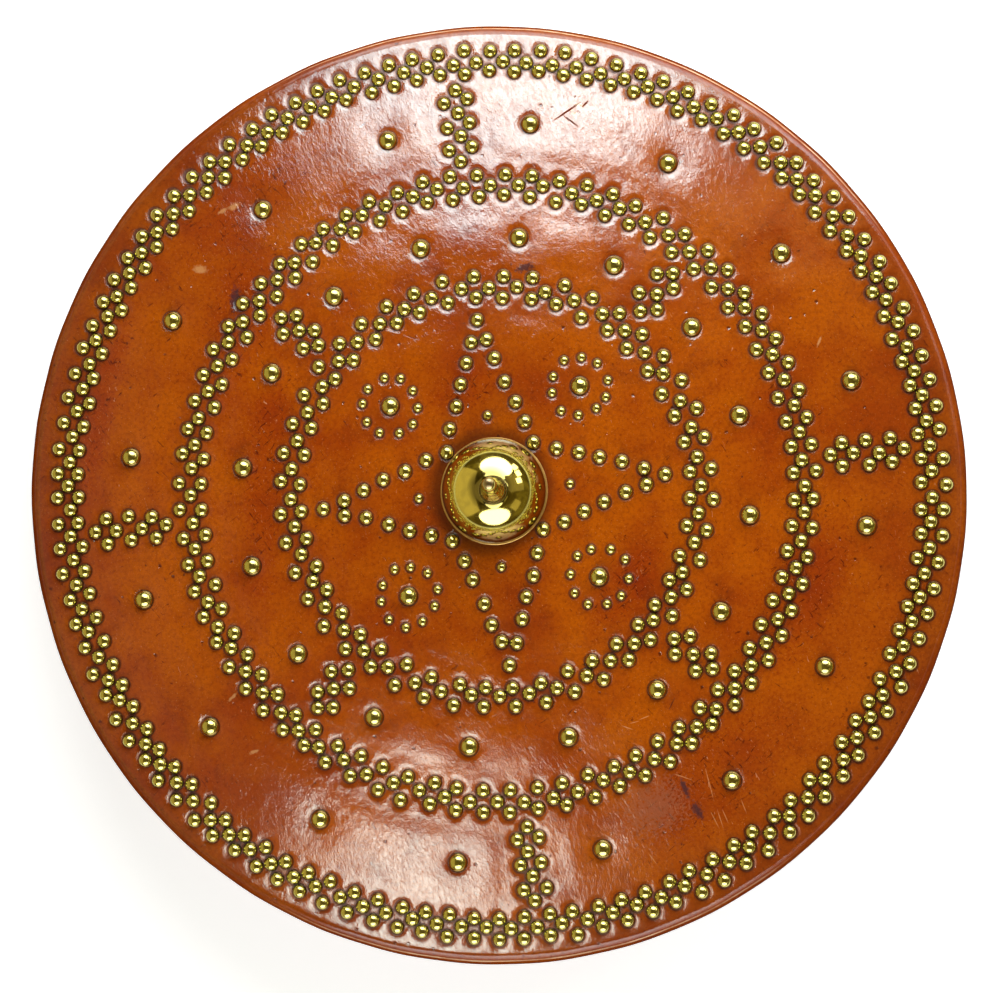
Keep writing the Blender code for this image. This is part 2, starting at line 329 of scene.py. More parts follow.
def oak():
    """Planed oak, oiled by handling: long grain, paler and darker planks, dark open pores."""
    ring_width = 0.004  # growth rings 4 mm apart
    pore_width = 0.0006  # real pores are 0.3 mm, drawn twice as wide so that they show
    plank_shift = 7.31
    finish, tree = new_material("oak_bare_planed")
    place = add_node(tree, "ShaderNodeTexCoord").outputs["Object"]
    plank = add_node(tree, "ShaderNodeAttribute", attribute_name="plank").outputs["Fac"]
    own = add_node(tree, "ShaderNodeMath", {0: plank, 1: plank_shift}, operation="MULTIPLY")
    shift = add_node(tree, "ShaderNodeCombineXYZ", {"X": own, "Y": own, "Z": own})
    shifted = add_node(tree, "ShaderNodeVectorMath", {0: place, 1: shift}, operation="ADD")
    along = add_node(tree, "ShaderNodeMapping", {"Vector": shifted, "Scale": (1.0, 0.06, 1.0)})
    rings = add_node(tree, "ShaderNodeTexNoise", {
        "Vector": along, "Scale": 1 / ring_width, "Detail": 4.0, "Roughness": 0.62,
        "Distortion": 0.6,
    })
    pores = add_node(tree, "ShaderNodeTexNoise", {
        "Vector": along, "Scale": 1 / pore_width, "Detail": 2.0, "Roughness": 0.5,
    })
    tone = add_node(tree, "ShaderNodeTexWhiteNoise", {"W": own}, noise_dimensions="1D")
    band = add_node(tree, "ShaderNodeMapRange", {
        "Value": rings, "From Min": 0.35, "From Max": 0.68,
    })
    darker_plank = add_node(tree, "ShaderNodeMapRange", {"Value": tone, "To Max": 0.6})
    open_pore = add_node(tree, "ShaderNodeMapRange", {
        "Value": pores, "From Min": 0.62, "From Max": 0.72, "To Max": 0.6,
    })
    colour = hex_colour("#a8814f")
    for amount, hue in ((band, "#6f4a26"), (darker_plank, "#5a3a1e"), (open_pore, "#3a2412")):
        colour = add_node(tree, "ShaderNodeMix", {
            "Factor_Float": amount, "A_Color": colour, "B_Color": hex_colour(hue),
        }, data_type="RGBA")
    ridges = add_node(tree, "ShaderNodeBump", {
        "Height": rings, "Strength": 0.4, "Distance": 0.0008,
    })
    grain = add_node(tree, "ShaderNodeBump", {
        "Height": pores, "Strength": 0.5, "Distance": 0.0004, "Normal": ridges,
    })
    shader = add_node(tree, "ShaderNodeBsdfPrincipled", {
        "Base Color": colour, "Roughness": 0.62, "Normal": grain,
    })
    add_node(tree, "ShaderNodeOutputMaterial", {"Surface": shader})
    return finish


board = new_piece("oak_board", board_mesh(), oak())
reshape_mesh(board.data, hand_cut)
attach(board, "root")
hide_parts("board")

# ---- The pattern of nails, marked out on the hide -------------------------------------------
# Three bands of small nails in triple rows, joined by strips, round a four-pointed star with a
# rosette in each corner. It was set out by hand, so no nail stands quite on its mark.

SMALL_HEAD = 0.00405
PIN_HEAD = 0.00275
LARGE_HEAD = 0.0052
boss_low, boss_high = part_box("boss")
PATTERN_CENTRE = np.array([(boss_low.x + boss_high.x) / 2, -0.0006])
# nails in a row, the three rows' radii, which rows are shifted half a step
BANDS = (
    (108, (0.2282, 0.2334, 0.2396), (True, False, True)),
    (72, (0.1603, 0.1664, 0.1719), (True, False, True)),
    (44, (0.10525, 0.11065, 0.1166), (False, True, False)),
)
# first nail of the middle line, step, nails in the line, half width, direction of the first
STRIPS = (
    (0.1805, 0.0131, 4, 0.0064, 0),
    (0.1245, 0.01325, 3, 0.0062, 45),
)
STAR_TIP = 0.0935
STAR_NOTCH = 0.0340
STAR_STEPS = 6
ROSETTE_RADIUS = 0.0158
ROSETTE_PINS = 10
SINGLE_PIN_RING = 0.0415
NAIL_SCATTER = 0.00052
MOST_SCATTER = 2.2
NAIL_CLEARANCE = 0.00005
SPREADING_ROUNDS = 14
chance = np.random.default_rng(16)


def polar(radius, degrees):
    """The point (x, y) at that radius and angle."""
    turn = math.radians(degrees)
    return np.array([radius * math.cos(turn), radius * math.sin(turn)])


def small_nail_marks():
    """The marks for the bands, the strips between them, and the star."""
    marks = []
    for count, radii, shifted in BANDS:
        for radius, half_step in zip(radii, shifted):
            steps = np.arange(count) + 0.5 * half_step
            marks += [polar(radius, 360 * step / count) for step in steps]
    for first, step, count, half_width, start in STRIPS:
        for quarter in range(4):
            out = polar(1, start + 90 * quarter)
            across = np.array([-out[1], out[0]])
            marks += [out * (first + step * i) for i in range(count)]
            for i in range(count - 1):
                between = out * (first + step * (i + 0.5))
                marks += [between + across * half_width, between - across * half_width]
    for quarter in range(4):
        tip = polar(STAR_TIP, 90 * quarter)
        notch = polar(STAR_NOTCH, 90 * quarter + 45)
        next_tip = polar(STAR_TIP, 90 * quarter + 90)
        for i in range(STAR_STEPS):
            marks.append(tip + (notch - tip) * i / STAR_STEPS)
            marks.append(notch + (next_tip - notch) * i / STAR_STEPS)
    return np.array(marks) + PATTERN_CENTRE


def large_nail_places():
    """The large nails are in the frame, so their places come from it."""
    names = sorted(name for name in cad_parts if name.startswith("stud_"))
    boxes = [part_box(name) for name in names]
    return names, np.array([[(low.x + high.x) / 2, (low.y + high.y) / 2] for low, high in boxes])


def pin_marks(rosettes):
    """A single pin in each arm of the star, and a ring of them round each rosette's nail."""
    marks = [PATTERN_CENTRE + polar(SINGLE_PIN_RING, 90 * quarter) for quarter in range(4)]
    for centre in rosettes:
        outward = centre - PATTERN_CENTRE
        start = math.degrees(math.atan2(outward[1], outward[0]))
        for i in range(ROSETTE_PINS):
            marks.append(centre + polar(ROSETTE_RADIUS, start + 360 * i / ROSETTE_PINS))
    return np.array(marks)


def driven(marks, radii, fixed):
    """Scatters the nails about their marks and keeps their heads from lying on each other."""
    most = MOST_SCATTER * NAIL_SCATTER
    places = marks + chance.normal(0, NAIL_SCATTER, marks.shape).clip(-most, most)
    places[fixed] = marks[fixed]
    least = radii[:, None] + radii[None, :] + NAIL_CLEARANCE
    for _ in range(SPREADING_ROUNDS):
        apart = places[:, None] - places[None]
        distance = np.hypot(apart[..., 0], apart[..., 1])
        np.fill_diagonal(distance, 1)
        short = np.clip(least - distance, 0, None)
        push = (apart / distance[..., None] * short[..., None] / 2).sum(1)
        push[fixed] = 0
        places = places + push
    return places


stud_names, large_places = large_nail_places()
rosette_places = np.array([p for n, p in zip(stud_names, large_places) if "rosette" in n])
small_marks = small_nail_marks()
pins = pin_marks(rosette_places)
marks = np.concatenate([small_marks, pins, large_places])
head_radii = np.concatenate([
    np.full(len(small_marks), SMALL_HEAD),
    np.full(len(pins), PIN_HEAD),
    np.full(len(large_places), LARGE_HEAD),
])
is_large = np.arange(len(marks)) >= len(small_marks) + len(pins)
nail_places = driven(marks, head_radii, is_large)
small_places = nail_places[: len(small_marks)]
pin_places = nail_places[len(small_marks) : len(small_marks) + len(pins)]

# ---- The hide -----------------------------------------------------------------------------
# One vegetable-tanned cowhide, stretched wet over the face and the rim and turned in at the
# back. Every nail has pressed it down, so it swells between the rows and in the open panels.

HIDE_THICKNESS = 0.0026
HIDE_GAP = 0.0003
RIM_ROUND = BOARD_ROUND + HIDE_GAP + HIDE_THICKNESS
RIM_STEPS = 840
NAIL_PRESS = 0.00025
PRESS_REACH = 0.0012
PANEL_SWELL = 0.00026
SWELL_REACH = 0.0085
HIDE_UNEVENNESS = 0.00010
PANEL_SPACING = 0.0026
PANEL_JITTER = 0.16  # of that spacing
# the mesh's rings round a nail: distance outside the head, and points in the ring
NAIL_RINGS = ((-0.0009, 10), (0.00012, 18), (0.0010, 18), (0.0021, 20), (0.0036, 22))
LEAST_SPACING = 0.00072
RINGS_OFF_RIM = 0.0012
PANELS_OFF_RIM = 0.0015
TURN_IN = 0.026
TURN_IN_STEPS = 8
PLEATS = 46
PLEAT_HEIGHT = 0.0016
FOLD_LINE = 0.06  # of a pleat's width
RIM_TOP_STEPS = 9
RIM_FOOT_STEPS = 7
RIM_CREASE = 4
RIM_CREASE_DEPTH = 0.0003
FAR_FROM_NAILS = 0.02
BACK_SHADE = 0.64
POINTS_AT_ONCE = 2000


def face_points(inset):
    """Points for the face's mesh: rings round every nail, and an even spread in the panels."""
    turn = np.arange(RIM_STEPS) * math.tau / RIM_STEPS
    rim = inset * np.stack([np.cos(turn), np.sin(turn)], 1)
    taken = {}
    kept = []

    def cell(point):
        """The square of a grid that a point falls in."""
        return int(point[0] // LEAST_SPACING), int(point[1] // LEAST_SPACING)

    def offer(points, spacing):
        """Keeps each of the points that has no kept point nearer to it than the spacing."""
        for point in points:
            x, y = cell(point)
            reach = int(math.ceil(spacing / LEAST_SPACING))
            near = (
                other
                for i in range(x - reach, x + reach + 1)
                for j in range(y - reach, y + reach + 1)
                for other in taken.get((i, j), ())
            )
            if all((point[0] - q[0]) ** 2 + (point[1] - q[1]) ** 2 > spacing**2 for q in near):
                taken.setdefault((x, y), []).append(point)
                kept.append(point)

    for point in rim:
        taken.setdefault(cell(point), []).append(tuple(point))
        kept.append(tuple(point))
    for beyond, count in NAIL_RINGS:
        ring = np.arange(count) * math.tau / count
        steps = np.stack([np.cos(ring), np.sin(ring)], 1)
        points = (nail_places[:, None] + (head_radii + beyond)[:, None, None] * steps).reshape(-1, 2)
        inside = np.hypot(points[:, 0], points[:, 1]) < inset - RINGS_OFF_RIM
        if beyond > 0:
            inside &= nail_gap(points) > beyond * 0.6
        offer(map(tuple, points[inside]), LEAST_SPACING)
    lines = np.arange(-inset, inset, PANEL_SPACING)
    grid = np.array([
        (x + (row % 2) * PANEL_SPACING / 2, y)
        for row, y in enumerate(np.arange(-inset, inset, PANEL_SPACING * math.sqrt(3) / 2))
        for x in lines
    ])
    grid += chance.uniform(-PANEL_JITTER, PANEL_JITTER, grid.shape) * PANEL_SPACING
    clear_of_rim = np.hypot(grid[:, 0], grid[:, 1]) < inset - PANELS_OFF_RIM
    clear_of_nails = nail_gap(grid) > NAIL_RINGS[-1][0]
    offer(map(tuple, grid[clear_of_rim & clear_of_nails]), 0.6 * PANEL_SPACING)
    return np.array(kept)


def per_nail(points, measure):
    """Runs measure on each point's distances to every nail head's edge, a few points at a time."""
    results = []
    for part in np.array_split(points, max(1, len(points) // POINTS_AT_ONCE)):
        away = part[:, None] - nail_places[None]
        gaps = np.hypot(away[..., 0], away[..., 1]) - head_radii
        results.append(measure(gaps))
    return np.concatenate(results)


def nail_gap(points):
    """How far each point is from the edge of the nearest nail head."""
    return per_nail(points, lambda gaps: gaps.min(1))


def pressed(points):
    """How far the nails hold the hide down: close round each head, and gently further out."""
    def depth(gaps):
        """The depth under each point, from its distances to the nails."""
        gaps = gaps.clip(0)
        close = np.exp(-((gaps / PRESS_REACH) ** 2)).sum(1).clip(0, 1)
        wide = np.exp(-((gaps / SWELL_REACH) ** 2)).sum(1).clip(0, 1)
        return NAIL_PRESS * close + PANEL_SWELL * wide

    return per_nail(points, depth)


def rolling(points, size, seed):
    """Smooth random ups and downs of about that size, from -1 to 1."""
    return np.array([noise.noise(Vector((x / size, y / size, seed))) for x, y in points])


def hide_face_z(points):
    """The height of the hide's face: pressed down by the nails and a little uneven by nature."""
    uneven = rolling(points, 0.021, 3.7) + 0.35 * rolling(points, 0.0075, 9.1)
    return FACE_Z + PANEL_SWELL * 0.5 - pressed(points) + HIDE_UNEVENNESS * uneven


def hide_mesh():
    """The whole hide: its face, rim, turned-in edge with pleats, and the inside on the board."""
    radius = SHIELD_RADIUS
    inset = radius - RIM_ROUND
    flat = face_points(inset)
    triangles = geometry.delaunay_2d_cdt([Vector(p) for p in flat], [], [], 0, 1e-8)[2]
    heights = hide_face_z(flat)
    rim_height = heights[:RIM_STEPS].copy()
    points = [np.column_stack([flat, heights])]
    faces = [tuple(t) for t in triangles]

    bottom = hide_low.z
    inner = BOARD_ROUND + HIDE_GAP
    back_width = inset - radius + TURN_IN
    path = arc(inset, FACE_Z - RIM_ROUND, RIM_ROUND, 90, 0, RIM_TOP_STEPS)[1:]
    path += [(radius, (FACE_Z + bottom) / 2)]
    path += arc(inset, bottom + RIM_ROUND, RIM_ROUND, 0, -90, RIM_FOOT_STEPS)
    back_start = len(path) - 1
    path += [(inset - back_width * i / TURN_IN_STEPS, bottom) for i in range(1, TURN_IN_STEPS + 1)]
    path += [(radius - TURN_IN - 0.0002, bottom + 0.0006)]
    back_end = len(path)
    path += [(radius - TURN_IN, bottom + HIDE_THICKNESS)]
    path += arc(inset, bottom + RIM_ROUND, inner, -90, 0, 4)
    path += arc(inset, FACE_Z - RIM_ROUND, inner, 0, 90, 4)

    turn = np.arange(RIM_STEPS) * math.tau / RIM_STEPS
    around = np.stack([np.cos(turn), np.sin(turn)], 1)
    outline = around * radius
    waves = rolling(outline, 0.03, 5.2)
    fold = (PLEATS * turn / math.tau + 0.4 * rolling(outline, 0.05, 1.4)) % 1
    pleat = np.where(fold < 0.9, (fold / 0.9) ** 3, (1 - fold) / 0.1)
    pleat *= 0.75 + 0.5 * rolling(outline, 0.04, 8.8)
    ragged = 0.0016 * rolling(outline, 0.018, 2.9) + 0.0006 * rolling(outline, 0.005, 6.1)
    first = len(flat)
    previous = np.arange(RIM_STEPS)
    for number, (r, z) in enumerate(path):
        lift = np.zeros(RIM_STEPS)
        out = np.zeros(RIM_STEPS)
        if number < RIM_TOP_STEPS:
            down = math.cos(math.radians(90 / RIM_TOP_STEPS * (number + 1)))
            lift = (rim_height - FACE_Z) * down
        if 0 < number < back_start - 1:
            out = 0.00018 * waves + 0.0001 * np.cos(37 * turn) - 0.0002
        if number == RIM_CREASE:
            out = out - RIM_CREASE_DEPTH * (1.2 + waves)
        if back_start <= number <= back_end:
            inward = (inset - r) / back_width
            lift = -PLEAT_HEIGHT * pleat * inward**0.7 * (number < back_end)
            out = ragged * inward**2
        ring = np.column_stack([around * (r + out)[:, None], z + lift])
        points.append(ring)
        current = np.arange(RIM_STEPS) + first + number * RIM_STEPS
        following = np.roll(current, -1)
        before = np.roll(previous, -1)
        faces += [tuple(map(int, f)) for f in zip(previous, current, following, before)]
        previous = current
    faces.append(tuple(int(i) for i in previous[::-1]))
    points = np.concatenate(points)
    mesh = bpy.data.meshes.new("face_hide")
    mesh.from_pydata(hand_cut(points).tolist(), [], faces)

    # nail_gap is the distance to the nearest nail; it is small along the folds too, so that
    # # they take the same dark colour, partly grime and partly painted shade in the folds
    gap = np.full(len(points), FAR_FROM_NAILS)
    gap[: len(flat)] = nail_gap(flat).clip(0, FAR_FROM_NAILS)
    in_fold = np.minimum(fold, 1 - fold) < FOLD_LINE
    for number in range(back_start + 3, back_end + 1):
        ring_gap = gap[len(flat) + number * RIM_STEPS : len(flat) + (number + 1) * RIM_STEPS]
        ring_gap[in_fold] = 0.0008 - 0.0001 * (number - back_start - 3)
    mesh.attributes.new("nail_gap", "FLOAT", "POINT").data.foreach_set("value", gap)

    # way_round runs from 0 on the face to 1 at the foot of the rim, and less on the back
    way_round = np.ones(len(points))
    way_round[: len(flat)] = 0
    levels = [*np.linspace(1 / RIM_TOP_STEPS, 1, RIM_TOP_STEPS)]
    levels += [*np.linspace(1, BACK_SHADE, RIM_FOOT_STEPS + 1)]
    levels += [BACK_SHADE] * (len(path) - len(levels))
    way_round[len(flat) :] = np.repeat(levels, RIM_STEPS)
    mesh.attributes.new("way_round", "FLOAT", "POINT").data.foreach_set("value", way_round)

    shape = bmesh.new()
    shape.from_mesh(mesh)
    bmesh.ops.recalc_face_normals(shape, faces=shape.faces)
    shape.to_mesh(mesh)
    shape.free()
    mesh.shade_smooth()
    mesh.set_sharp_from_angle(angle=math.radians(70))
    return mesh


# wear on the face: kind, x, y, angle in degrees, half length, half width; marks of one kind may
# lie on each other, and each ends in a torn edge
RAGGED_EDGE = {
    "cut": 0.5, "scratch": 0.9, "scuff": 1.5, "haze": 4.0, "bruise": 1.5, "stain": 1.2,
}
TORN_GRAIN = 0.0016
WEAR = (
    ("cut", 0.0613, 0.1998, 28, 0.0088, 0.00052),
    ("cut", 0.0630, 0.1943, -43, 0.0053, 0.00045),
    ("cut", 0.0716, 0.2028, 42, 0.0024, 0.00050),
    ("scuff", 0.0680, 0.2028, -25, 0.0026, 0.0013),
    ("scuff", 0.0650, 0.1980, -60, 0.0030, 0.0014),
    ("cut", -0.0345, 0.0868, -22, 0.0042, 0.00030),
    ("scuff", -0.1250, 0.1690, 24, 0.0036, 0.0019),
    ("scuff", -0.1312, 0.1672, 24, 0.0030, 0.0012),
    ("scuff", -0.1465, 0.1368, -12, 0.0044, 0.0024),
    ("scuff", -0.1505, -0.0968, 40, 0.0038, 0.0009),
    ("scuff", -0.1416, -0.1273, 15, 0.0030, 0.0010),
    ("scuff", 0.1830, 0.0610, 62, 0.0034, 0.0007),
    ("bruise", 0.0875, -0.1688, 107, 0.0058, 0.0018),
    ("bruise", 0.0929, -0.1809, 115, 0.0056, 0.0024),
    ("haze", 0.0700, -0.1770, 20, 0.0190, 0.0150),
    ("scratch", 0.0603, -0.1337, 156, 0.0036, 0.00030),
    ("scratch", 0.0643, -0.1312, 9, 0.0024, 0.00030),
    ("scratch", 0.0698, -0.1293, 16, 0.0032, 0.00030),
    ("scratch", 0.1006, -0.1671, 99, 0.0094, 0.00032),
    ("scratch", 0.1045, -0.1866, 102, 0.0058, 0.00030),
    ("scratch", 0.1073, -0.1854, 108, 0.0040, 0.00030),
    ("scratch", 0.1015, -0.1865, 111, 0.0050, 0.00030),
    ("scratch", 0.0665, -0.2039, 122, 0.0040, 0.00030),
    ("scratch", 0.1175, -0.1809, 106, 0.0042, 0.00030),
    ("scratch", 0.0871, -0.1625, 155, 0.0052, 0.00030),
    ("cut", 0.0850, -0.1236, 59, 0.0040, 0.00032),
    ("cut", 0.0307, -0.1224, 44, 0.0028, 0.00032),
    ("cut", 0.0730, -0.1873, 31, 0.0022, 0.00036),
    ("bruise", -0.1290, 0.1180, 80, 0.0080, 0.0030),
    ("bruise", 0.0300, 0.1180, 10, 0.0060, 0.0025),
    ("stain", -0.1130, 0.1730, 40, 0.0500, 0.0240),
    ("stain", -0.1250, 0.1080, 70, 0.0450, 0.0200),
    ("stain", -0.1200, 0.0200, 80, 0.0700, 0.0130),
    ("stain", 0.1600, -0.0700, 60, 0.0480, 0.0220),
    ("stain", 0.1000, -0.1650, 35, 0.0600, 0.0260),
    ("stain", -0.0050, 0.0570, 20, 0.0240, 0.0120),
    ("stain", -0.2080, 0.0700, 72, 0.0700, 0.0100),
    ("stain", 0.0650, -0.0600, 50, 0.0300, 0.0140),
)


def worn_places(tree, place, kind):
    """A mask of all the marks of one kind, torn at the edges by a fine noise."""
    torn = add_node(tree, "ShaderNodeTexNoise", {
        "Vector": place, "Scale": 1 / TORN_GRAIN, "Detail": 3.0,
    })
    ragged = RAGGED_EDGE[kind]
    total = 0.0
    for _, x, y, angle, half_length, half_width in [mark for mark in WEAR if mark[0] == kind]:
        local = add_node(tree, "ShaderNodeMapping", {
            "Vector": place, "Location": (x, y, FACE_Z), "Rotation": (0, 0, math.radians(angle)),
            "Scale": (half_length, half_width, 0.02),
        }, vector_type="TEXTURE")
        reach = add_node(tree, "ShaderNodeVectorMath", {0: local}, operation="LENGTH")
        rough_reach = add_node(tree, "ShaderNodeMath", {
            0: torn, 1: ragged, 2: reach.outputs["Value"],
        }, operation="MULTIPLY_ADD")
        mask = add_node(tree, "ShaderNodeMapRange", {
            "Value": rough_reach, "From Min": 0.5 + ragged / 2, "From Max": 1.1 + ragged / 2,
            "To Min": 1.0, "To Max": 0.0,
        })
        total = add_node(tree, "ShaderNodeMath", {0: total, 1: mask}, operation="MAXIMUM")
    return total


def waxed_hide():
    """Russet cowhide, dyed, waxed and rubbed up: glossy, mottled, pitted, with fine creases."""
    finish, tree = new_material("cowhide_russet_waxed")
    place = add_node(tree, "ShaderNodeTexCoord").outputs["Object"]
    gap = add_node(tree, "ShaderNodeAttribute", attribute_name="nail_gap").outputs["Fac"]
    way_round = add_node(tree, "ShaderNodeAttribute", attribute_name="way_round").outputs["Fac"]

    # name, size in metres, detail, roughness, distortion, angle, stretch; the strokes took the
    #     # dye darker, and the painted glints are pale flecks painted where lifted grain would catch
    #     the
    #     # light; real pores and grit are 0.2 mm, and are drawn at 0.9 mm so that they show
    patterns = {}
    for name, size, detail, roughness, distortion, angle, stretch in (
        ("cloud", 0.045, 5.0, 0.62, 0.0, 0, 1.0),
        ("blotch", 0.022, 7.0, 0.72, 0.4, 0, 1.0),
        ("dapple", 0.0020, 4.0, 0.65, 0.0, 0, 1.0),
        ("stroke", 0.0016, 3.0, 0.60, 0.8, 35, 4.0),
        ("cross_stroke", 0.0016, 3.0, 0.60, 0.8, -52, 4.0),
        ("painted_glint", 0.0016, 3.0, 0.60, 0.8, 12, 3.0),
        ("grit", 0.0009, 2.0, 0.60, 0.0, 0, 1.0),
        ("torn", 0.0012, 2.0, 0.50, 0.0, 0, 1.0),
        ("crease", 0.0017, 4.0, 0.60, 0.9, 20, 2.2),
        ("pore", 0.0009, 2.0, 0.50, 0.0, 0, 1.0),
        ("swell", 0.0045, 3.0, 0.55, 0.0, 0, 1.0),
    ):
        where = place
        if stretch != 1.0:
            where = add_node(tree, "ShaderNodeMapping", {
                "Vector": place, "Rotation": (0, 0, math.radians(angle)),
                "Scale": (1.0, stretch, 1.0),
            }, vector_type="TEXTURE")
        patterns[name] = add_node(tree, "ShaderNodeTexNoise", {
            "Vector": where, "Scale": 1 / size, "Detail": detail, "Roughness": roughness,
            "Distortion": distortion,
        })

    # the strokes and the painted glints gather in the stained places
    worn = {kind: worn_places(tree, place, kind) for kind in RAGGED_EDGE}
    gathered = {}
    for name, pull in (("stroke", 0.06), ("cross_stroke", 0.06), ("painted_glint", 0.04)):
        gathered[name] = add_node(tree, "ShaderNodeMath", {
            0: worn["stain"], 1: pull, 2: patterns[name],
        }, operation="MULTIPLY_ADD")

    # a pit in some of the cells of a 6.8 mm mosaic
    pit_spacing = 0.0068
    cells = add_node(tree, "ShaderNodeTexVoronoi", {
        "Vector": place, "Scale": 1 / pit_spacing, "Randomness": 1.0,
    })
    chosen = add_node(tree, "ShaderNodeSeparateColor", {"Color": cells.outputs["Color"]})
    size = add_node(tree, "ShaderNodeMapRange", {
        "Value": chosen.outputs["Red"], "From Min": 0.45, "From Max": 1.0,
        "To Min": 0.0, "To Max": 0.17,
    })
    edge = add_node(tree, "ShaderNodeMath", {
        0: patterns["torn"], 1: 0.2, 2: cells,
    }, operation="MULTIPLY_ADD")
    pit = add_node(tree, "ShaderNodeMath", {0: size, 1: edge}, operation="SUBTRACT")
    pits = add_node(tree, "ShaderNodeMapRange", {
        "Value": pit, "From Min": -0.12, "From Max": -0.02, "To Max": 0.8,
    })

    # reach is the distance from the shield's middle
    level = add_node(tree, "ShaderNodeVectorMath", {
        0: place, 1: (1.0, 1.0, 0.0),
    }, operation="MULTIPLY")
    reach = add_node(tree, "ShaderNodeVectorMath", {0: level}, operation="LENGTH").outputs["Value"]

    # a pale line is painted along the rim's crest at the top and the foot, a painted highlight
    #     # where the umbrellas would catch the curve; it is broken into patches
    crest = add_node(tree, "ShaderNodeMath", {
        0: way_round, 1: 0.5, 2: 0.07,
    }, operation="COMPARE")
    sides = add_node(tree, "ShaderNodeSeparateXYZ", {"Vector": place})
    top_side = add_node(tree, "ShaderNodeMath", {
        0: sides.outputs["X"], 1: 0.35, 2: sides.outputs["Y"],
    }, operation="MULTIPLY_ADD")
    highlit_top = add_node(tree, "ShaderNodeMapRange", {
        "Value": top_side, "From Min": 0.19, "From Max": 0.23,
    })
    highlit_foot = add_node(tree, "ShaderNodeMapRange", {
        "Value": sides.outputs["Y"], "From Min": -0.205, "From Max": -0.24,
    })
    wear_and_highlight = add_node(tree, "ShaderNodeMath", {0: highlit_top, 1: highlit_foot}, operation="MAXIMUM")
    patchy = add_node(tree, "ShaderNodeMapRange", {
        "Value": patterns["blotch"], "From Min": 0.35, "From Max": 0.6,
        "To Min": 0.2, "To Max": 0.8,
    })
    painted_crest_highlight = add_node(tree, "ShaderNodeMath", {0: crest, 1: wear_and_highlight}, operation="MULTIPLY")
    painted_crest_highlight = add_node(tree, "ShaderNodeMath", {0: painted_crest_highlight, 1: patchy}, operation="MULTIPLY")

    # darker close round the nails and in the folds at the back: partly old wax and dirt, and
    #     # partly painted shade where the heads and the folds would shade the hide
    grime_and_painted_shade = add_node(tree, "ShaderNodeMapRange", {
        "Value": gap, "From Min": 0.0, "From Max": 0.0010, "To Min": 0.7, "To Max": 0.0,
    }, interpolation_type="SMOOTHSTEP")

    # each tint lies on the last: its colour, what it follows, from where to where in that, and
    # how strong it is at the two ends
    colour = hex_colour("#b55704")
    for hue, follows, start, end, weak, strong in (
        ("#9a3c06", patterns["cloud"], 0.38, 0.64, 0.0, 1.0),
        ("#7e2c06", patterns["dapple"], 0.44, 0.64, 0.0, 0.46),
        ("#5f1f0a", patterns["blotch"], 0.55, 0.78, 0.0, 0.62),
        ("#8a2208", worn["stain"], 0.0, 1.0, 0.0, 0.4),
        ("#4c1008", gathered["stroke"], 0.65, 0.74, 0.0, 0.8),
        ("#4c1008", gathered["cross_stroke"], 0.65, 0.74, 0.0, 0.8),
        # pale flecks painted where lifted grain would glint
        ("#d9996a", gathered["painted_glint"], 0.69, 0.76, 0.0, 0.6),
        ("#cf9658", patterns["grit"], 0.64, 0.74, 0.0, 0.36),
        ("#4a1806", patterns["grit"], 0.28, 0.38, 0.5, 0.0),
        ("#431009", pits, 0.0, 1.0, 0.0, 1.0),
        ("#a4684a", worn["haze"], 0.0, 1.0, 0.0, 0.45),
        ("#3e2630", worn["bruise"], 0.0, 1.0, 0.0, 0.86),
        ("#e0a468", worn["scratch"], 0.0, 1.0, 0.0, 0.5),
        ("#d29a62", worn["scuff"], 0.0, 1.0, 0.0, 0.7),
        ("#5a240c", worn["cut"], 0.0, 1.0, 0.0, 1.0),
        ("#6a3418", reach, 0.15, 0.23, 0.0, 0.14),
        ("#5a2414", reach, 0.236, 0.250, 0.0, 0.36),
        # painted shade on the hide round the boss's foot
        ("#3a140c", reach, 0.037, 0.030, 0.0, 0.7),
        # painted shade: darker down the rim's side, and a little on the back
        ("#40180e", way_round, 0.55, 0.85, 0.0, 0.88),
        # a painted highlight along the rim's crest
        ("#eccaa8", painted_crest_highlight, 0.0, 1.0, 0.0, 1.0),
        # dark close round the nails and in the back folds: grime and painted shade
        ("#30140a", grime_and_painted_shade, 0.0, 1.0, 0.0, 1.0),
    ):
        amount = add_node(tree, "ShaderNodeMapRange", {
            "Value": follows, "From Min": start, "From Max": end, "To Min": weak, "To Max": strong,
        })
        colour = add_node(tree, "ShaderNodeMix", {
            "Factor_Float": amount, "A_Color": colour, "B_Color": hex_colour(hue),
        }, data_type="RGBA")

    dents = add_node(tree, "ShaderNodeMath", {0: worn["cut"], 1: pits}, operation="MAXIMUM")
    relief = {}
    for height, strength, distance, sunk in (
        (patterns["swell"], 0.14, 0.0006, False),
        (patterns["crease"], 0.30, 0.00026, False),
        (patterns["pore"], 0.28, 0.00012, False),
        (dents, 0.6, 0.0002, True),
    ):
        relief["Normal"] = add_node(tree, "ShaderNodeBump", {
            "Height": height, "Strength": strength, "Distance": distance, **relief,
        }, invert=sunk)

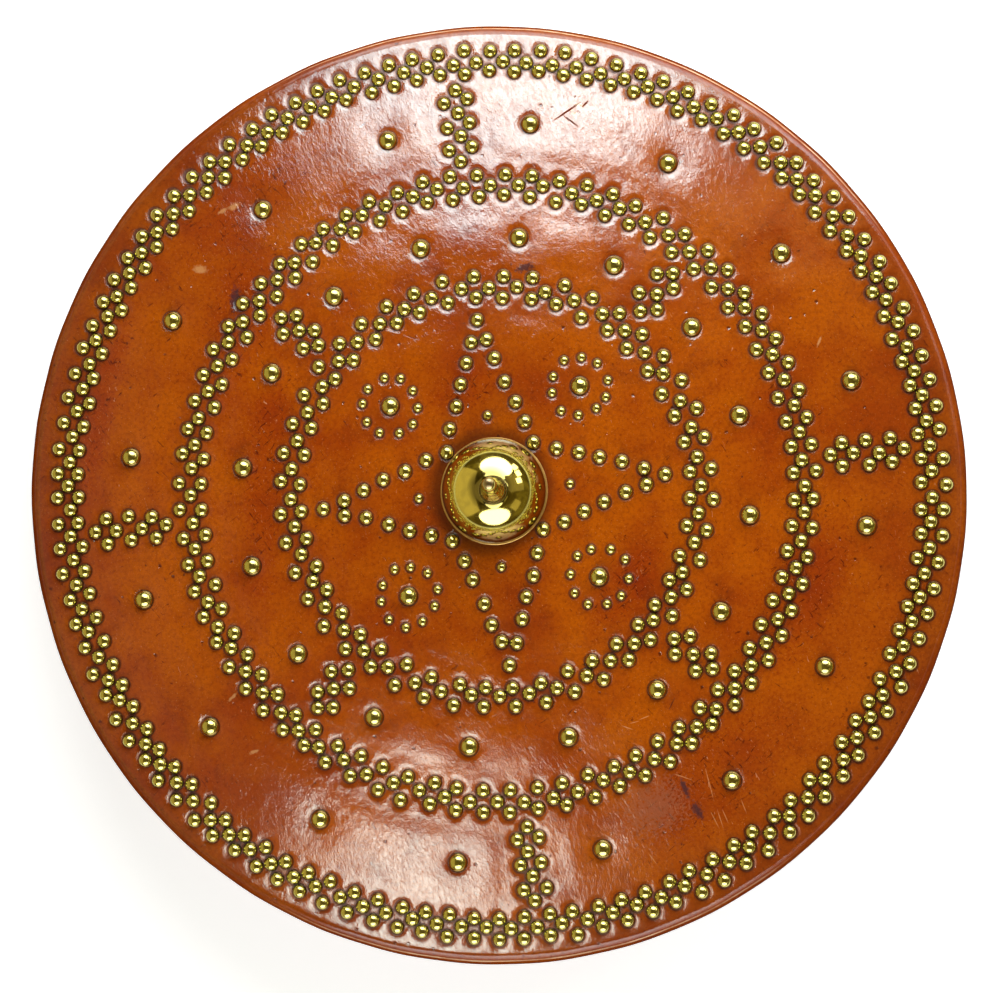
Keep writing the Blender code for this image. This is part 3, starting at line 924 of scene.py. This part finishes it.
    # dull beside the nails, in cuts and down the rim; the wax is worn thin between the creases
    polish = add_node(tree, "ShaderNodeMapRange", {
        "Value": patterns["blotch"], "From Min": 0.35, "From Max": 0.75,
        "To Min": 0.07, "To Max": 0.12,
    })
    beside_nail = add_node(tree, "ShaderNodeMapRange", {
        "Value": gap, "From Min": 0.0, "From Max": 0.0014, "To Min": 0.24, "To Max": 0.0,
    })
    down_rim = add_node(tree, "ShaderNodeMapRange", {
        "Value": way_round, "From Min": 0.2, "From Max": 0.42, "To Max": 0.4,
    })
    raw_cut = add_node(tree, "ShaderNodeMath", {0: worn["cut"], 1: 0.4}, operation="MULTIPLY")
    dull = add_node(tree, "ShaderNodeMath", {0: beside_nail, 1: down_rim}, operation="MAXIMUM")
    dull = add_node(tree, "ShaderNodeMath", {0: dull, 1: raw_cut}, operation="MAXIMUM")
    rough = add_node(tree, "ShaderNodeMath", {0: dull, 1: polish}, operation="ADD")
    waxy = add_node(tree, "ShaderNodeMapRange", {
        "Value": dull, "From Max": 0.4, "To Min": 0.5, "To Max": 0.0,
    })
    worn_wax = add_node(tree, "ShaderNodeMapRange", {
        "Value": patterns["crease"], "From Min": 0.36, "From Max": 0.62,
        "To Min": 0.66, "To Max": 1.15,
    })
    waxy = add_node(tree, "ShaderNodeMath", {0: waxy, 1: worn_wax}, operation="MULTIPLY")
    shader = add_node(tree, "ShaderNodeBsdfPrincipled", {
        "Base Color": colour, "Roughness": rough, "IOR": 1.5, "Specular IOR Level": waxy, **relief,
    })
    add_node(tree, "ShaderNodeOutputMaterial", {"Surface": shader})
    return finish


hide = new_piece("face_hide", hide_mesh(), waxed_hide())
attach(hide, "root")
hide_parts("face_leather")
sheen_catcher.objects.link(hide)

# ---- The nails ----------------------------------------------------------------------------
# Domed heads pressed from thin brass over an iron shank, driven until they sink into the hide.
# They were polished in place, which leaves them bright on top; round the foot they are dark,
# # partly with tarnish and partly with painted shade where the head meets the hide.

FOOT_SINK = 0.0009
FOOT_EDGE = 0.0004
SMALL_HEIGHT = SMALL_HEAD + FOOT_EDGE
PIN_HEIGHT = PIN_HEAD + 0.0006
LARGE_HEIGHT = LARGE_HEAD + FOOT_EDGE
NAIL_TILT = math.radians(4.0)
HEAD_SPREAD = 0.02
NAIL_FOOT_Z = FACE_Z + PANEL_SWELL * 0.5 - PANEL_SWELL - FOOT_SINK


def head_shape(name, radius, height, steps, rings, foot_edge):
    """One domed head standing on z = 0, with the height over its foot kept as an attribute."""
    profile = [(0, height)]
    for i in range(1, rings + 1):
        angle = math.radians(90 * i / rings)
        z = foot_edge + (height - foot_edge) * math.cos(angle)
        profile.append((radius * math.sin(angle), z))
    profile += [(radius, 0), (0, 0)]
    shape = turned(profile, steps)
    level = shape.verts.layers.float.new("head_height")
    for vert in shape.verts:
        vert[level] = vert.co.z / height
    return new_piece(name, finished(name, shape, 50))


def start_tree(name, made, given):
    """A Geometry Nodes tree with its named inputs and one output. Returns it and its inputs."""
    tree = bpy.data.node_groups.new(name, "GeometryNodeTree")
    for label, kind in given.items():
        tree.interface.new_socket(label, in_out="INPUT", socket_type="NodeSocket" + kind)
    tree.interface.new_socket(made, in_out="OUTPUT", socket_type="NodeSocketGeometry")
    return tree, add_node(tree, "NodeGroupInput").outputs


def end_tree(tree, copies, coat):
    """Makes the copies real, gives them their material and hands them out."""
    real = add_node(tree, "GeometryNodeRealizeInstances", {"Geometry": copies})
    coated = add_node(tree, "GeometryNodeSetMaterial", {"Geometry": real, "Material": coat})
    add_node(tree, "NodeGroupOutput", {0: coated})


def heads_tree():
    """Geometry Nodes: a copy of the head on every place, tilted and sized a little at random."""
    tree, given = start_tree("heads_on_places", "Heads", {
        "Places": "Geometry", "Head": "Object", "Tilt": "Float", "Size spread": "Float",
        "Seed": "Int", "Finish": "Material",
    })
    back_tilt = add_node(tree, "ShaderNodeMath", {
        0: given["Tilt"], 1: -1.0,
    }, operation="MULTIPLY")
    least_turn = add_node(tree, "ShaderNodeCombineXYZ", {"X": back_tilt, "Y": back_tilt})
    most_turn = add_node(tree, "ShaderNodeCombineXYZ", {
        "X": given["Tilt"], "Y": given["Tilt"], "Z": math.tau,
    })
    turn = add_node(tree, "FunctionNodeRandomValue", {
        "Min": least_turn, "Max": most_turn, "Seed": given["Seed"],
    }, data_type="FLOAT_VECTOR")
    least_size = add_node(tree, "ShaderNodeMath", {
        0: 1.0, 1: given["Size spread"],
    }, operation="SUBTRACT")
    most_size = add_node(tree, "ShaderNodeMath", {
        0: 1.0, 1: given["Size spread"],
    }, operation="ADD")
    size = add_node(tree, "FunctionNodeRandomValue", {
        "Min_001": least_size, "Max_001": most_size, "Seed": given["Seed"],
    }, data_type="FLOAT")
    head = add_node(tree, "GeometryNodeObjectInfo", {
        "Object": given["Head"],
    }, transform_space="ORIGINAL")
    copies = add_node(tree, "GeometryNodeInstanceOnPoints", {
        "Points": given["Places"], "Instance": head.outputs["Geometry"], "Rotation": turn,
        "Scale": size,
    })
    end_tree(tree, copies, given["Finish"])
    return tree


def plain_result(carrier, tree, name, values):
    """Runs a Geometry Nodes tree on the carrier and returns the result as a plain mesh object."""
    modifier = carrier.modifiers.new(tree.name, "NODES")
    modifier.node_group = tree
    for item in tree.interface.items_tree:
        if item.item_type == "SOCKET" and item.in_out == "INPUT" and item.name in values:
            modifier[item.identifier] = values[item.name]
    graph = bpy.context.evaluated_depsgraph_get()
    mesh = bpy.data.meshes.new_from_object(carrier.evaluated_get(graph), depsgraph=graph)
    mesh.name = name
    bpy.data.objects.remove(carrier)
    return new_piece(name, mesh)


def at_height(places, z):
    """Adds the same height to each (x, y) place."""
    return np.column_stack([places, np.full(len(places), z)])


def set_heads(name, places, head, finish, tilt, spread, seed):
    """Drives the same head at every place and returns them all as one piece."""
    marks = bpy.data.meshes.new(name + "_places")
    marks.from_pydata([tuple(p) for p in places], [], [])
    piece = plain_result(new_piece(name + "_places", marks), head_tree, name, {
        "Head": head, "Tilt": tilt, "Size spread": spread, "Seed": seed, "Finish": finish,
    })
    bpy.data.objects.remove(head)
    return piece


def nail_brass():
    """Pressed brass, polished on the dome and dark at the foot: old wax, tarnish and painted shade.
    """
    tarnish_patch = 0.0025  # patches of 2.5 mm
    finish, tree = new_material("brass_pressed_polished")
    place = add_node(tree, "ShaderNodeTexCoord").outputs["Object"]
    height = add_node(tree, "ShaderNodeAttribute", attribute_name="head_height").outputs["Fac"]
    patchy = add_node(tree, "ShaderNodeTexNoise", {
        "Vector": place, "Scale": 1 / tarnish_patch, "Detail": 3.0,
    })
    uneven = add_node(tree, "ShaderNodeMath", {
        0: patchy, 1: 0.25, 2: height,
    }, operation="MULTIPLY_ADD")
    # tarnish and painted shade: the head darkens towards its foot
    foot = add_node(tree, "ShaderNodeMapRange", {
        "Value": uneven, "From Min": 0.25, "From Max": 0.70, "To Min": 1.0, "To Max": 0.0,
    }, interpolation_type="SMOOTHSTEP")
    colour = add_node(tree, "ShaderNodeMix", {
        "Factor_Float": foot, "A_Color": hex_colour("#b7af66"), "B_Color": hex_colour("#4c3f1a"),
    }, data_type="RGBA")
    rough = add_node(tree, "ShaderNodeMapRange", {"Value": foot, "To Min": 0.18, "To Max": 0.36})
    shader = add_node(tree, "ShaderNodeBsdfPrincipled", {
        "Base Color": colour, "Metallic": 1.0, "Roughness": rough,
    })
    add_node(tree, "ShaderNodeOutputMaterial", {"Surface": shader})
    return finish


head_tree = heads_tree()
bright_brass = nail_brass()
nails = {}
# piece, places, radius, height, steps round, rings, tilt, size spread, seed
for name, places, radius, height, steps, rings, tilt, spread, seed in (
    ("small_brass_nails", small_places, SMALL_HEAD, SMALL_HEIGHT, 12, 5,
     NAIL_TILT, HEAD_SPREAD, 3),
    ("brass_pins", pin_places, PIN_HEAD, PIN_HEIGHT, 12, 4,
     NAIL_TILT, HEAD_SPREAD, 5),
    ("large_brass_nails", large_places, LARGE_HEAD, LARGE_HEIGHT, 24, 8,
     NAIL_TILT / 2, HEAD_SPREAD / 2, 8),
):
    head = head_shape(name + "_head", radius, height, steps, rings, FOOT_EDGE)
    nails[name] = set_heads(
        name, at_height(places, NAIL_FOOT_Z), head, bright_brass, tilt, spread, seed,
    )
    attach(nails[name], "root")
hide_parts(*stud_names)

# ---- The boss -----------------------------------------------------------------------------
# A hollow dome of cast brass with its knob in one piece, turned on a lathe and polished bright.
# It stands on the hide on a thin foot. The knob sits a little off the dome's centre and leans.

BOSS_RADIUS = 0.0282
BOSS_WALL = 0.0031
BOSS_FLANGE = 0.0008
FLANGE_BEVEL = 0.0003
DOME_ENDS_AT = 2.4  # degrees above its foot
KNOB_HEIGHT = 0.020
KNOB_FOOT = 0.0063
KNOB_TIP = 0.0040
KNOB_FILLET = 0.0028
KNOB_SLIP = math.radians(4.4)
KNOB_SLIP_AXIS = Vector((0.58, 0.81, 0.0))
KNOB_LEAN = Vector((-0.065, 0.172, 0.0))
KNOB_WAIST = 0.0007
KNOB_GROOVES = (0.30, 0.52, 0.74, 0.90)
KNOB_GROOVE_DEPTH = 0.00022
KNOB_STEPS = 26
SLIP_STARTS = math.radians(38)
SLIP_FADES_OVER = math.radians(18)
BOSS_STEPS = 144


def boss_profile():
    """From the knob's tip down its side and the dome, round the foot, and up the hollow inside."""
    blend_angle = math.degrees(math.acos((KNOB_FOOT + KNOB_FILLET) / BOSS_RADIUS))
    dome_at_foot = math.sqrt(BOSS_RADIUS**2 - KNOB_FOOT**2)
    tip_centre = BOSS_RADIUS + KNOB_HEIGHT - KNOB_TIP
    profile = arc(0, tip_centre, KNOB_TIP, 90, 8, 12)
    side_top = Vector(profile[-1])
    side_foot = Vector((KNOB_FOOT, dome_at_foot + KNOB_FILLET))
    for i in range(1, KNOB_STEPS):
        down = i / KNOB_STEPS
        middle = side_top.lerp(side_foot, down)
        waist = -KNOB_WAIST * math.sin(math.pi * down)
        groove = KNOB_GROOVE_DEPTH * sum(
            math.exp(-(((down - at) / 0.035) ** 2)) for at in KNOB_GROOVES
        )
        profile.append((middle.x + waist - groove, middle.y))
    dome_start = Vector(polar(BOSS_RADIUS, blend_angle))
    corner = Vector((KNOB_FOOT + 0.0003, dome_at_foot + 0.0002))
    for i in range(0, 9):
        down = i / 8
        curve = side_foot.lerp(corner, down).lerp(corner.lerp(dome_start, down), down)
        profile.append(tuple(curve))
    profile += arc(0, 0, BOSS_RADIUS, blend_angle, DOME_ENDS_AT, 46)[1:]
    flange = BOSS_RADIUS + BOSS_FLANGE
    profile += [(BOSS_RADIUS, BOSS_FLANGE), (flange - FLANGE_BEVEL, BOSS_FLANGE)]
    profile += [(flange, BOSS_FLANGE - FLANGE_BEVEL), (flange, 0)]
    profile += arc(0, 0, BOSS_RADIUS - BOSS_WALL, 0, 90, 14)
    return [(r, boss_low.z + z) for r, z in profile]


def boss_mesh():
    """The turned boss with its knob slipped and leaning, and the faint dents of casting."""
    shape = turned(boss_profile(), BOSS_STEPS)
    knob_foot = boss_low.z + BOSS_RADIUS
    centre = Vector((0, 0, boss_low.z))
    for vert in shape.verts:
        from_axis = math.atan2(math.hypot(vert.co.x, vert.co.y), vert.co.z - centre.z)
        near = min(1.0, max(0.0, (SLIP_STARTS - from_axis) / SLIP_FADES_OVER))
        slip = KNOB_SLIP * near * near * (3 - 2 * near)
        vert.co = centre + Matrix.Rotation(slip, 3, KNOB_SLIP_AXIS) @ (vert.co - centre)
        dent = 0.00003 * noise.noise(vert.co / 0.008) + 0.00006 * noise.noise(vert.co / 0.021)
        vert.co += vert.normal * dent
        vert.co += max(0.0, vert.co.z - knob_foot) * KNOB_LEAN
    mesh = finished("boss_dome", shape, 40)
    mesh.transform(Matrix.Translation((*PATTERN_CENTRE, 0)))
    return mesh


def boss_brass():
    """Cast brass, turned and burnished like a mirror, with dull places, and painted shade and
    reflections in its colour.
    """
    smear_size = 0.009  # smears of old polish, 9 mm
    pit_size = 0.0016  # pits of the casting are 0.5 mm, drawn at 1.6 mm so that they show
    finish, tree = new_material("brass_cast_burnished")
    place = add_node(tree, "ShaderNodeTexCoord").outputs["Object"]
    z = add_node(tree, "ShaderNodeSeparateXYZ", {"Vector": place}).outputs["Z"]
    smear = add_node(tree, "ShaderNodeTexNoise", {
        "Vector": place, "Scale": 1 / smear_size, "Detail": 4.0, "Roughness": 0.6,
    })
    pitted = add_node(tree, "ShaderNodeTexNoise", {
        "Vector": place, "Scale": 1 / pit_size, "Detail": 3.0, "Roughness": 0.6,
    })
    # painted shade: the lower band of the dome is darker, which dims its reflection of the hide
    low = add_node(tree, "ShaderNodeMapRange", {
        "Value": z, "From Min": boss_low.z, "From Max": boss_low.z + 0.021,
        "To Min": 0.85, "To Max": 0.0,
    })
    # the knob's tip is dull mauve grey, partly tarnish and partly a painted reflection of the dark
    # camera above
    tip = add_node(tree, "ShaderNodeMapRange", {
        "Value": z, "From Min": boss_high.z - 0.0022, "From Max": boss_high.z - 0.0008,
        "To Max": 0.8,
    })
    # the thin foot is painted pale, a painted reflection, and left rough
    thin_foot = add_node(tree, "ShaderNodeMapRange", {
        "Value": z, "From Min": boss_low.z + 0.0016, "From Max": boss_low.z + 0.0009,
    })
    # round the knob's foot the colour is darker: partly old polish in the corner, partly painted
    # shade that dims its reflection
    corner = add_node(tree, "ShaderNodeMath", {
        0: z, 1: boss_low.z + BOSS_RADIUS - 0.0002,
    }, operation="SUBTRACT")
    corner = add_node(tree, "ShaderNodeMath", {0: corner}, operation="ABSOLUTE")
    corner = add_node(tree, "ShaderNodeMapRange", {
        "Value": corner, "From Min": 0.0012, "From Max": 0.0026, "To Min": 0.78, "To Max": 0.0,
    })
    colour = hex_colour("#cdc068")
    for amount, hue in (
        (low, "#7c6640"), (tip, "#776358"), (thin_foot, "#cba562"), (corner, "#4a4028"),
    ):
        colour = add_node(tree, "ShaderNodeMix", {
            "Factor_Float": amount, "A_Color": colour, "B_Color": hex_colour(hue),
        }, data_type="RGBA")
    burnish = add_node(tree, "ShaderNodeMapRange", {
        "Value": smear, "From Min": 0.3, "From Max": 0.7, "To Min": 0.04, "To Max": 0.13,
    })
    dull = add_node(tree, "ShaderNodeMath", {0: thin_foot, 1: tip}, operation="MAXIMUM")
    dull = add_node(tree, "ShaderNodeMath", {
        0: corner, 1: 0.3, 2: dull,
    }, operation="MULTIPLY_ADD")
    dull = add_node(tree, "ShaderNodeMath", {0: dull, 1: 0.42}, operation="MULTIPLY")
    rough = add_node(tree, "ShaderNodeMath", {0: burnish, 1: dull}, operation="MAXIMUM")
    bump = add_node(tree, "ShaderNodeBump", {
        "Height": pitted, "Strength": 0.08, "Distance": 0.0001,
    })
    shader = add_node(tree, "ShaderNodeBsdfPrincipled", {
        "Base Color": colour, "Metallic": 1.0, "Roughness": rough, "Normal": bump,
    })
    add_node(tree, "ShaderNodeOutputMaterial", {"Surface": shader})
    return finish


boss = new_piece("boss_dome", boss_mesh(), boss_brass())
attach(boss, "root")
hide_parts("boss")

# ---- Tacks in the turned-in hide ----------------------------------------------------------
# Small forged iron tacks, blackened, hold the turned-in edge of the hide to the back of the
# board. There are about three to every two pleats.

TACKS = 69
TACK_RING = 0.2365
TACK_SCATTER = 0.0007
TACK_RADIUS = 0.0031
TACK_HEIGHT = 0.0012
TACK_EDGE = 0.0003
TACK_SINK = 0.0001
TACK_TILT = math.radians(5)
TACK_SPREAD = 0.08
# a half turn about X, which points a head out of the back
OUT_OF_BACK = Matrix.Diagonal((1, -1, -1, 1))


def black_iron():
    """Forged iron, blackened and oiled, dull and nearly black, with a trace of rust."""
    rust_patch = 0.003  # patches of 3 mm
    finish, tree = new_material("iron_blackened")
    place = add_node(tree, "ShaderNodeTexCoord").outputs["Object"]
    rust = add_node(tree, "ShaderNodeTexNoise", {
        "Vector": place, "Scale": 1 / rust_patch, "Detail": 4.0,
    })
    rusty = add_node(tree, "ShaderNodeMapRange", {
        "Value": rust, "From Min": 0.5, "From Max": 0.75, "To Max": 0.6,
    })
    colour = add_node(tree, "ShaderNodeMix", {
        "Factor_Float": rusty, "A_Color": hex_colour("#33302c"), "B_Color": hex_colour("#5b3420"),
    }, data_type="RGBA")
    shader = add_node(tree, "ShaderNodeBsdfPrincipled", {
        "Base Color": colour, "Metallic": 0.7, "Roughness": 0.5,
    })
    add_node(tree, "ShaderNodeOutputMaterial", {"Surface": shader})
    return finish


tack_marks = np.array([polar(TACK_RING, 360 * i / TACKS) for i in range(TACKS)])
tack_marks += chance.normal(0, TACK_SCATTER, tack_marks.shape)
tack_head = head_shape("tack_head", TACK_RADIUS, TACK_HEIGHT, 10, 3, TACK_EDGE)
tack_head.data.transform(OUT_OF_BACK)
tacks = set_heads(
    "edge_tacks", at_height(tack_marks, hide_low.z + TACK_SINK), tack_head, black_iron(),
    TACK_TILT, TACK_SPREAD, 12,
)
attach(tacks, "root")

# ---- Arm strap and hand grip --------------------------------------------------------------
# Two loops of thick bridle leather, dyed dark brown, with a stitched groove along each edge.
# Their ends are riveted to the board, and the shield lies on them.

BACK_Z = board_low.z
TAB_BEND = 0.008
CROWN_BEND = 0.014
BEND_STEPS = 14
LEG_ANGLE = math.radians(75)
STRAPS = (
    {"node": "arm_strap", "thickness": 0.004, "crown": 0.100, "tab": 0.030},
    {"node": "hand_grip", "thickness": 0.005, "crown": 0.076, "tab": 0.027},
)
EDGE_ROUND = 0.42  # of the thickness
TAB_CORNER = 0.25  # of the width
TAB_END_NARROWS = 0.5  # of the width
SKIVED_TO = 0.72  # of the thickness
SKIVED_LENGTH = 0.008
GROOVE_INSET = 0.0046
GROOVE_DEPTH = 0.00060
GROOVE_WIDTH = 0.0022
STITCH_SPACING = 0.0046
STITCH_LENGTH = 0.0036
STITCH_THICKNESS = 0.0010
STITCHES_OFF_CORNER = 0.004
STATION_STEP = 0.0022


def loop_line(strap):
    """The strap's middle line (y, z), evenly stepped, from one tab's end round to the other's."""
    half = strap["thickness"] / 2
    tab_z = BACK_Z - HIDE_GAP - half
    bends = TAB_BEND + CROWN_BEND
    leg = (tab_z - half - bends * (1 - math.cos(LEG_ANGLE))) / math.sin(LEG_ANGLE)
    crown_y = strap["crown"] / 2
    foot_y = crown_y + bends * math.sin(LEG_ANGLE) + leg * math.cos(LEG_ANGLE)
    turns = np.linspace(0, LEG_ANGLE, BEND_STEPS + 1)
    line = [(foot_y + strap["tab"], tab_z)]
    for a in turns:
        line.append((foot_y - TAB_BEND * math.sin(a), tab_z - TAB_BEND * (1 - math.cos(a))))
    for a in turns[::-1]:
        line.append((crown_y + CROWN_BEND * math.sin(a), half + CROWN_BEND * (1 - math.cos(a))))
    line = np.array(line + [(-y, z) for y, z in reversed(line)])
    lengths = np.concatenate([[0], np.cumsum(np.hypot(*np.diff(line, axis=0).T))])
    steps = int(lengths[-1] / STATION_STEP)
    at = np.linspace(0, lengths[-1], steps + 1)
    even = np.column_stack([np.interp(at, lengths, line[:, 0]), np.interp(at, lengths, line[:, 1])])
    along = np.gradient(even, axis=0)
    along /= np.hypot(along[:, 0], along[:, 1])[:, None]
    across = np.column_stack([-along[:, 1], along[:, 0]])
    return at, even, across


def strap_section(width, thickness):
    """A cross-section (x, height): rounded edges, and a groove for the stitches on both faces."""
    half = thickness / 2
    edge_round = EDGE_ROUND * thickness
    groove_x = width / 2 - GROOVE_INSET
    quarter = [
        (groove_x - GROOVE_WIDTH / 2, half),
        (groove_x, half - GROOVE_DEPTH),
        (groove_x + GROOVE_WIDTH / 2, half),
    ]
    quarter += arc(width / 2 - edge_round, half - edge_round, edge_round, 90, 0, 3)
    right_side = quarter + [(x, -height) for x, height in reversed(quarter)]
    return right_side + [(-x, height) for x, height in reversed(right_side)]


def strap_mesh(name, strap, centre_x, width):
    """A loop of one length of leather, pared thin and cut round at the two ends of its tabs."""
    at, line, across = loop_line(strap)
    section = strap_section(width, strap["thickness"])
    shape = bmesh.new()
    rings = []
    for s, point, direction in zip(at, line, across):
        from_end = min(s, at[-1] - s)
        cut_off = max(0.0, 1 - from_end / (TAB_CORNER * width)) ** 1.6
        narrow = 1 - TAB_END_NARROWS * cut_off
        thin = SKIVED_TO + (1 - SKIVED_TO) * min(1.0, from_end / SKIVED_LENGTH)
        ring = []
        for x, height in section:
            y, z = point + direction * height * thin
            ring.append(shape.verts.new((centre_x + x * narrow, y, z)))
        rings.append(ring)
    for ring, following in zip(rings, rings[1:]):
        for i in range(len(ring)):
            j = (i + 1) % len(ring)
            shape.faces.new((ring[i], ring[j], following[j], following[i]))
    shape.faces.new(rings[0])
    shape.faces.new(rings[-1])
    bmesh.ops.recalc_face_normals(shape, faces=shape.faces)
    return finished(name, shape, 40)


def bridle_leather():
    """Bridle leather, dyed dark brown and greased: a satin sheen, a close grain, long creases."""
    dye_cloud = 0.02
    crease = 0.004
    pore = 0.0011  # real hair pores are 0.2 mm, drawn this coarse so that they show
    finish, tree = new_material("bridle_leather_dark_brown")
    place = add_node(tree, "ShaderNodeTexCoord").outputs["Object"]
    cloudy = add_node(tree, "ShaderNodeTexNoise", {
        "Vector": place, "Scale": 1 / dye_cloud, "Detail": 4.0, "Roughness": 0.6,
    })
    creased = add_node(tree, "ShaderNodeTexNoise", {
        "Vector": place, "Scale": 1 / crease, "Detail": 4.0, "Roughness": 0.6,
    })
    pores = add_node(tree, "ShaderNodeTexVoronoi", {"Vector": place, "Scale": 1 / pore})
    darker = add_node(tree, "ShaderNodeMapRange", {
        "Value": cloudy, "From Min": 0.35, "From Max": 0.7,
    })
    colour = add_node(tree, "ShaderNodeMix", {
        "Factor_Float": darker, "A_Color": hex_colour("#5a3018"), "B_Color": hex_colour("#35190c"),
    }, data_type="RGBA")
    folds = add_node(tree, "ShaderNodeBump", {
        "Height": creased, "Strength": 0.4, "Distance": 0.0004,
    })
    grain = add_node(tree, "ShaderNodeBump", {
        "Height": pores, "Strength": 0.35, "Distance": 0.00015, "Normal": folds,
    })
    shader = add_node(tree, "ShaderNodeBsdfPrincipled", {
        "Base Color": colour, "Roughness": 0.46, "Normal": grain,
    })
    add_node(tree, "ShaderNodeOutputMaterial", {"Surface": shader})
    return finish


def waxed_thread():
    """Linen thread, twisted and waxed: dull, straw-coloured, darker between its strands."""
    strand = 0.0006  # strands 0.6 mm thick
    finish, tree = new_material("linen_thread_waxed")
    place = add_node(tree, "ShaderNodeTexCoord").outputs["Object"]
    twist = add_node(tree, "ShaderNodeTexNoise", {
        "Vector": place, "Scale": 1 / strand, "Detail": 2.0,
    })
    colour = add_node(tree, "ShaderNodeMix", {
        "Factor_Float": twist, "A_Color": hex_colour("#cdb382"), "B_Color": hex_colour("#8c7144"),
    }, data_type="RGBA")
    shader = add_node(tree, "ShaderNodeBsdfPrincipled", {"Base Color": colour, "Roughness": 0.6})
    add_node(tree, "ShaderNodeOutputMaterial", {"Surface": shader})
    return finish


def stitch_tree():
    """Geometry Nodes: a stitch at every step along each line, lying along it."""
    tree, given = start_tree("stitches_along_lines", "Stitches", {
        "Lines": "Geometry", "Stitch": "Object", "Spacing": "Float", "Finish": "Material",
    })
    curve = add_node(tree, "GeometryNodeMeshToCurve", {"Mesh": given["Lines"]})
    steps = add_node(tree, "GeometryNodeResampleCurve", {
        "Curve": curve, "Length": given["Spacing"],
    }, mode="LENGTH")
    tangent = add_node(tree, "GeometryNodeInputTangent")
    along = add_node(tree, "FunctionNodeAlignRotationToVector", {"Vector": tangent}, axis="X")
    stitch = add_node(tree, "GeometryNodeObjectInfo", {
        "Object": given["Stitch"],
    }, transform_space="ORIGINAL")
    copies = add_node(tree, "GeometryNodeInstanceOnPoints", {
        "Points": steps, "Instance": stitch.outputs["Geometry"], "Rotation": along,
    })
    end_tree(tree, copies, given["Finish"])
    return tree


def stitch_shape():
    """One stitch along X: a short rounded length of thread."""
    shape = bmesh.new()
    bmesh.ops.create_uvsphere(shape, u_segments=6, v_segments=5, radius=0.5)
    shape.transform(Matrix.Rotation(math.pi / 2, 4, "Y"))
    shape.transform(Matrix.Diagonal((STITCH_LENGTH, STITCH_THICKNESS, STITCH_THICKNESS, 1)))
    return new_piece("stitch", finished("stitch", shape, 80))


def stitch_lines(strap, centre_x, width):
    """A line of stitches beside each edge, on the outer and inner face of the loop."""
    at, line, across = loop_line(strap)
    ends = TAB_CORNER * width + STITCHES_OFF_CORNER
    clear = (at > ends) & (at < at[-1] - ends)
    points = []
    edges = []
    for side in (-1, 1):
        x = centre_x + side * (width / 2 - GROOVE_INSET)
        for face in (-1, 1):
            offset = face * (strap["thickness"] - STITCH_THICKNESS) / 2
            start = len(points)
            points += [(x, *spot) for spot in line[clear] + across[clear] * offset]
            edges += [(i, i + 1) for i in range(start, len(points) - 1)]
    mesh = bpy.data.meshes.new(strap["node"] + "_stitch_lines")
    mesh.from_pydata(points, edges, [])
    return new_piece(mesh.name, mesh)


strap_leather = bridle_leather()
thread = waxed_thread()
stitching = stitch_tree()
for strap in STRAPS:
    low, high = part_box(strap["node"])
    centre_x = (low.x + high.x) / 2
    width = high.x - low.x
    loop_name = strap["node"] + "_leather"
    loop = new_piece(loop_name, strap_mesh(loop_name, strap, centre_x, width), strap_leather)
    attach(loop, "root")
    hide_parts(strap["node"])
    one_stitch = stitch_shape()
    lines = stitch_lines(strap, centre_x, width)
    seam = plain_result(lines, stitching, strap["node"] + "_stitching", {
        "Stitch": one_stitch, "Spacing": STITCH_SPACING, "Finish": thread,
    })
    bpy.data.objects.remove(one_stitch)
    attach(seam, "root")

# ---- Rivets of the straps -----------------------------------------------------------------
# Brass rivets with low domed heads, three to each tab, hold the straps to the board. They were
# never polished, so they are dull and brown but for their tops.

RIVET_RADIUS = 0.0045
RIVET_HEIGHT = 0.0024
RIVET_EDGE = 0.0004
RIVET_TILT = math.radians(1.5)
RIVET_SPREAD = 0.02


def dull_brass():
    """Brass, tarnished brown in the corners and worn yellow on top, with a soft shine."""
    tarnish_patch = 0.002  # patches of 2 mm
    finish, tree = new_material("brass_tarnished")
    place = add_node(tree, "ShaderNodeTexCoord").outputs["Object"]
    tarnish = add_node(tree, "ShaderNodeTexNoise", {
        "Vector": place, "Scale": 1 / tarnish_patch, "Detail": 4.0,
    })
    height = add_node(tree, "ShaderNodeAttribute", attribute_name="head_height").outputs["Fac"]
    wear_and_highlight = add_node(tree, "ShaderNodeMath", {0: height, 1: tarnish}, operation="MULTIPLY")
    worn = add_node(tree, "ShaderNodeMapRange", {
        "Value": wear_and_highlight, "From Min": 0.1, "From Max": 0.5,
    })
    colour = add_node(tree, "ShaderNodeMix", {
        "Factor_Float": worn, "A_Color": hex_colour("#6a4e24"), "B_Color": hex_colour("#c09a4a"),
    }, data_type="RGBA")
    shader = add_node(tree, "ShaderNodeBsdfPrincipled", {
        "Base Color": colour, "Metallic": 1.0, "Roughness": 0.36,
    })
    add_node(tree, "ShaderNodeOutputMaterial", {"Surface": shader})
    return finish


rivet_names = sorted(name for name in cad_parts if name.startswith("strap_rivet_"))
rivet_boxes = [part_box(name) for name in rivet_names]
rivet_places = [((low.x + high.x) / 2, (low.y + high.y) / 2, high.z) for low, high in rivet_boxes]
rivet_head = head_shape("rivet_head", RIVET_RADIUS, RIVET_HEIGHT, 20, 5, RIVET_EDGE)
rivet_head.data.transform(OUT_OF_BACK)
rivets = set_heads(
    "strap_rivets", rivet_places, rivet_head, dull_brass(), RIVET_TILT, RIVET_SPREAD, 21,
)
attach(rivets, "root")
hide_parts(*rivet_names)

# ---- Finish -------------------------------------------------------------------------------
# The scene is brought up to date. The finished shield has to lie inside the imported one.

bpy.context.view_layer.update()
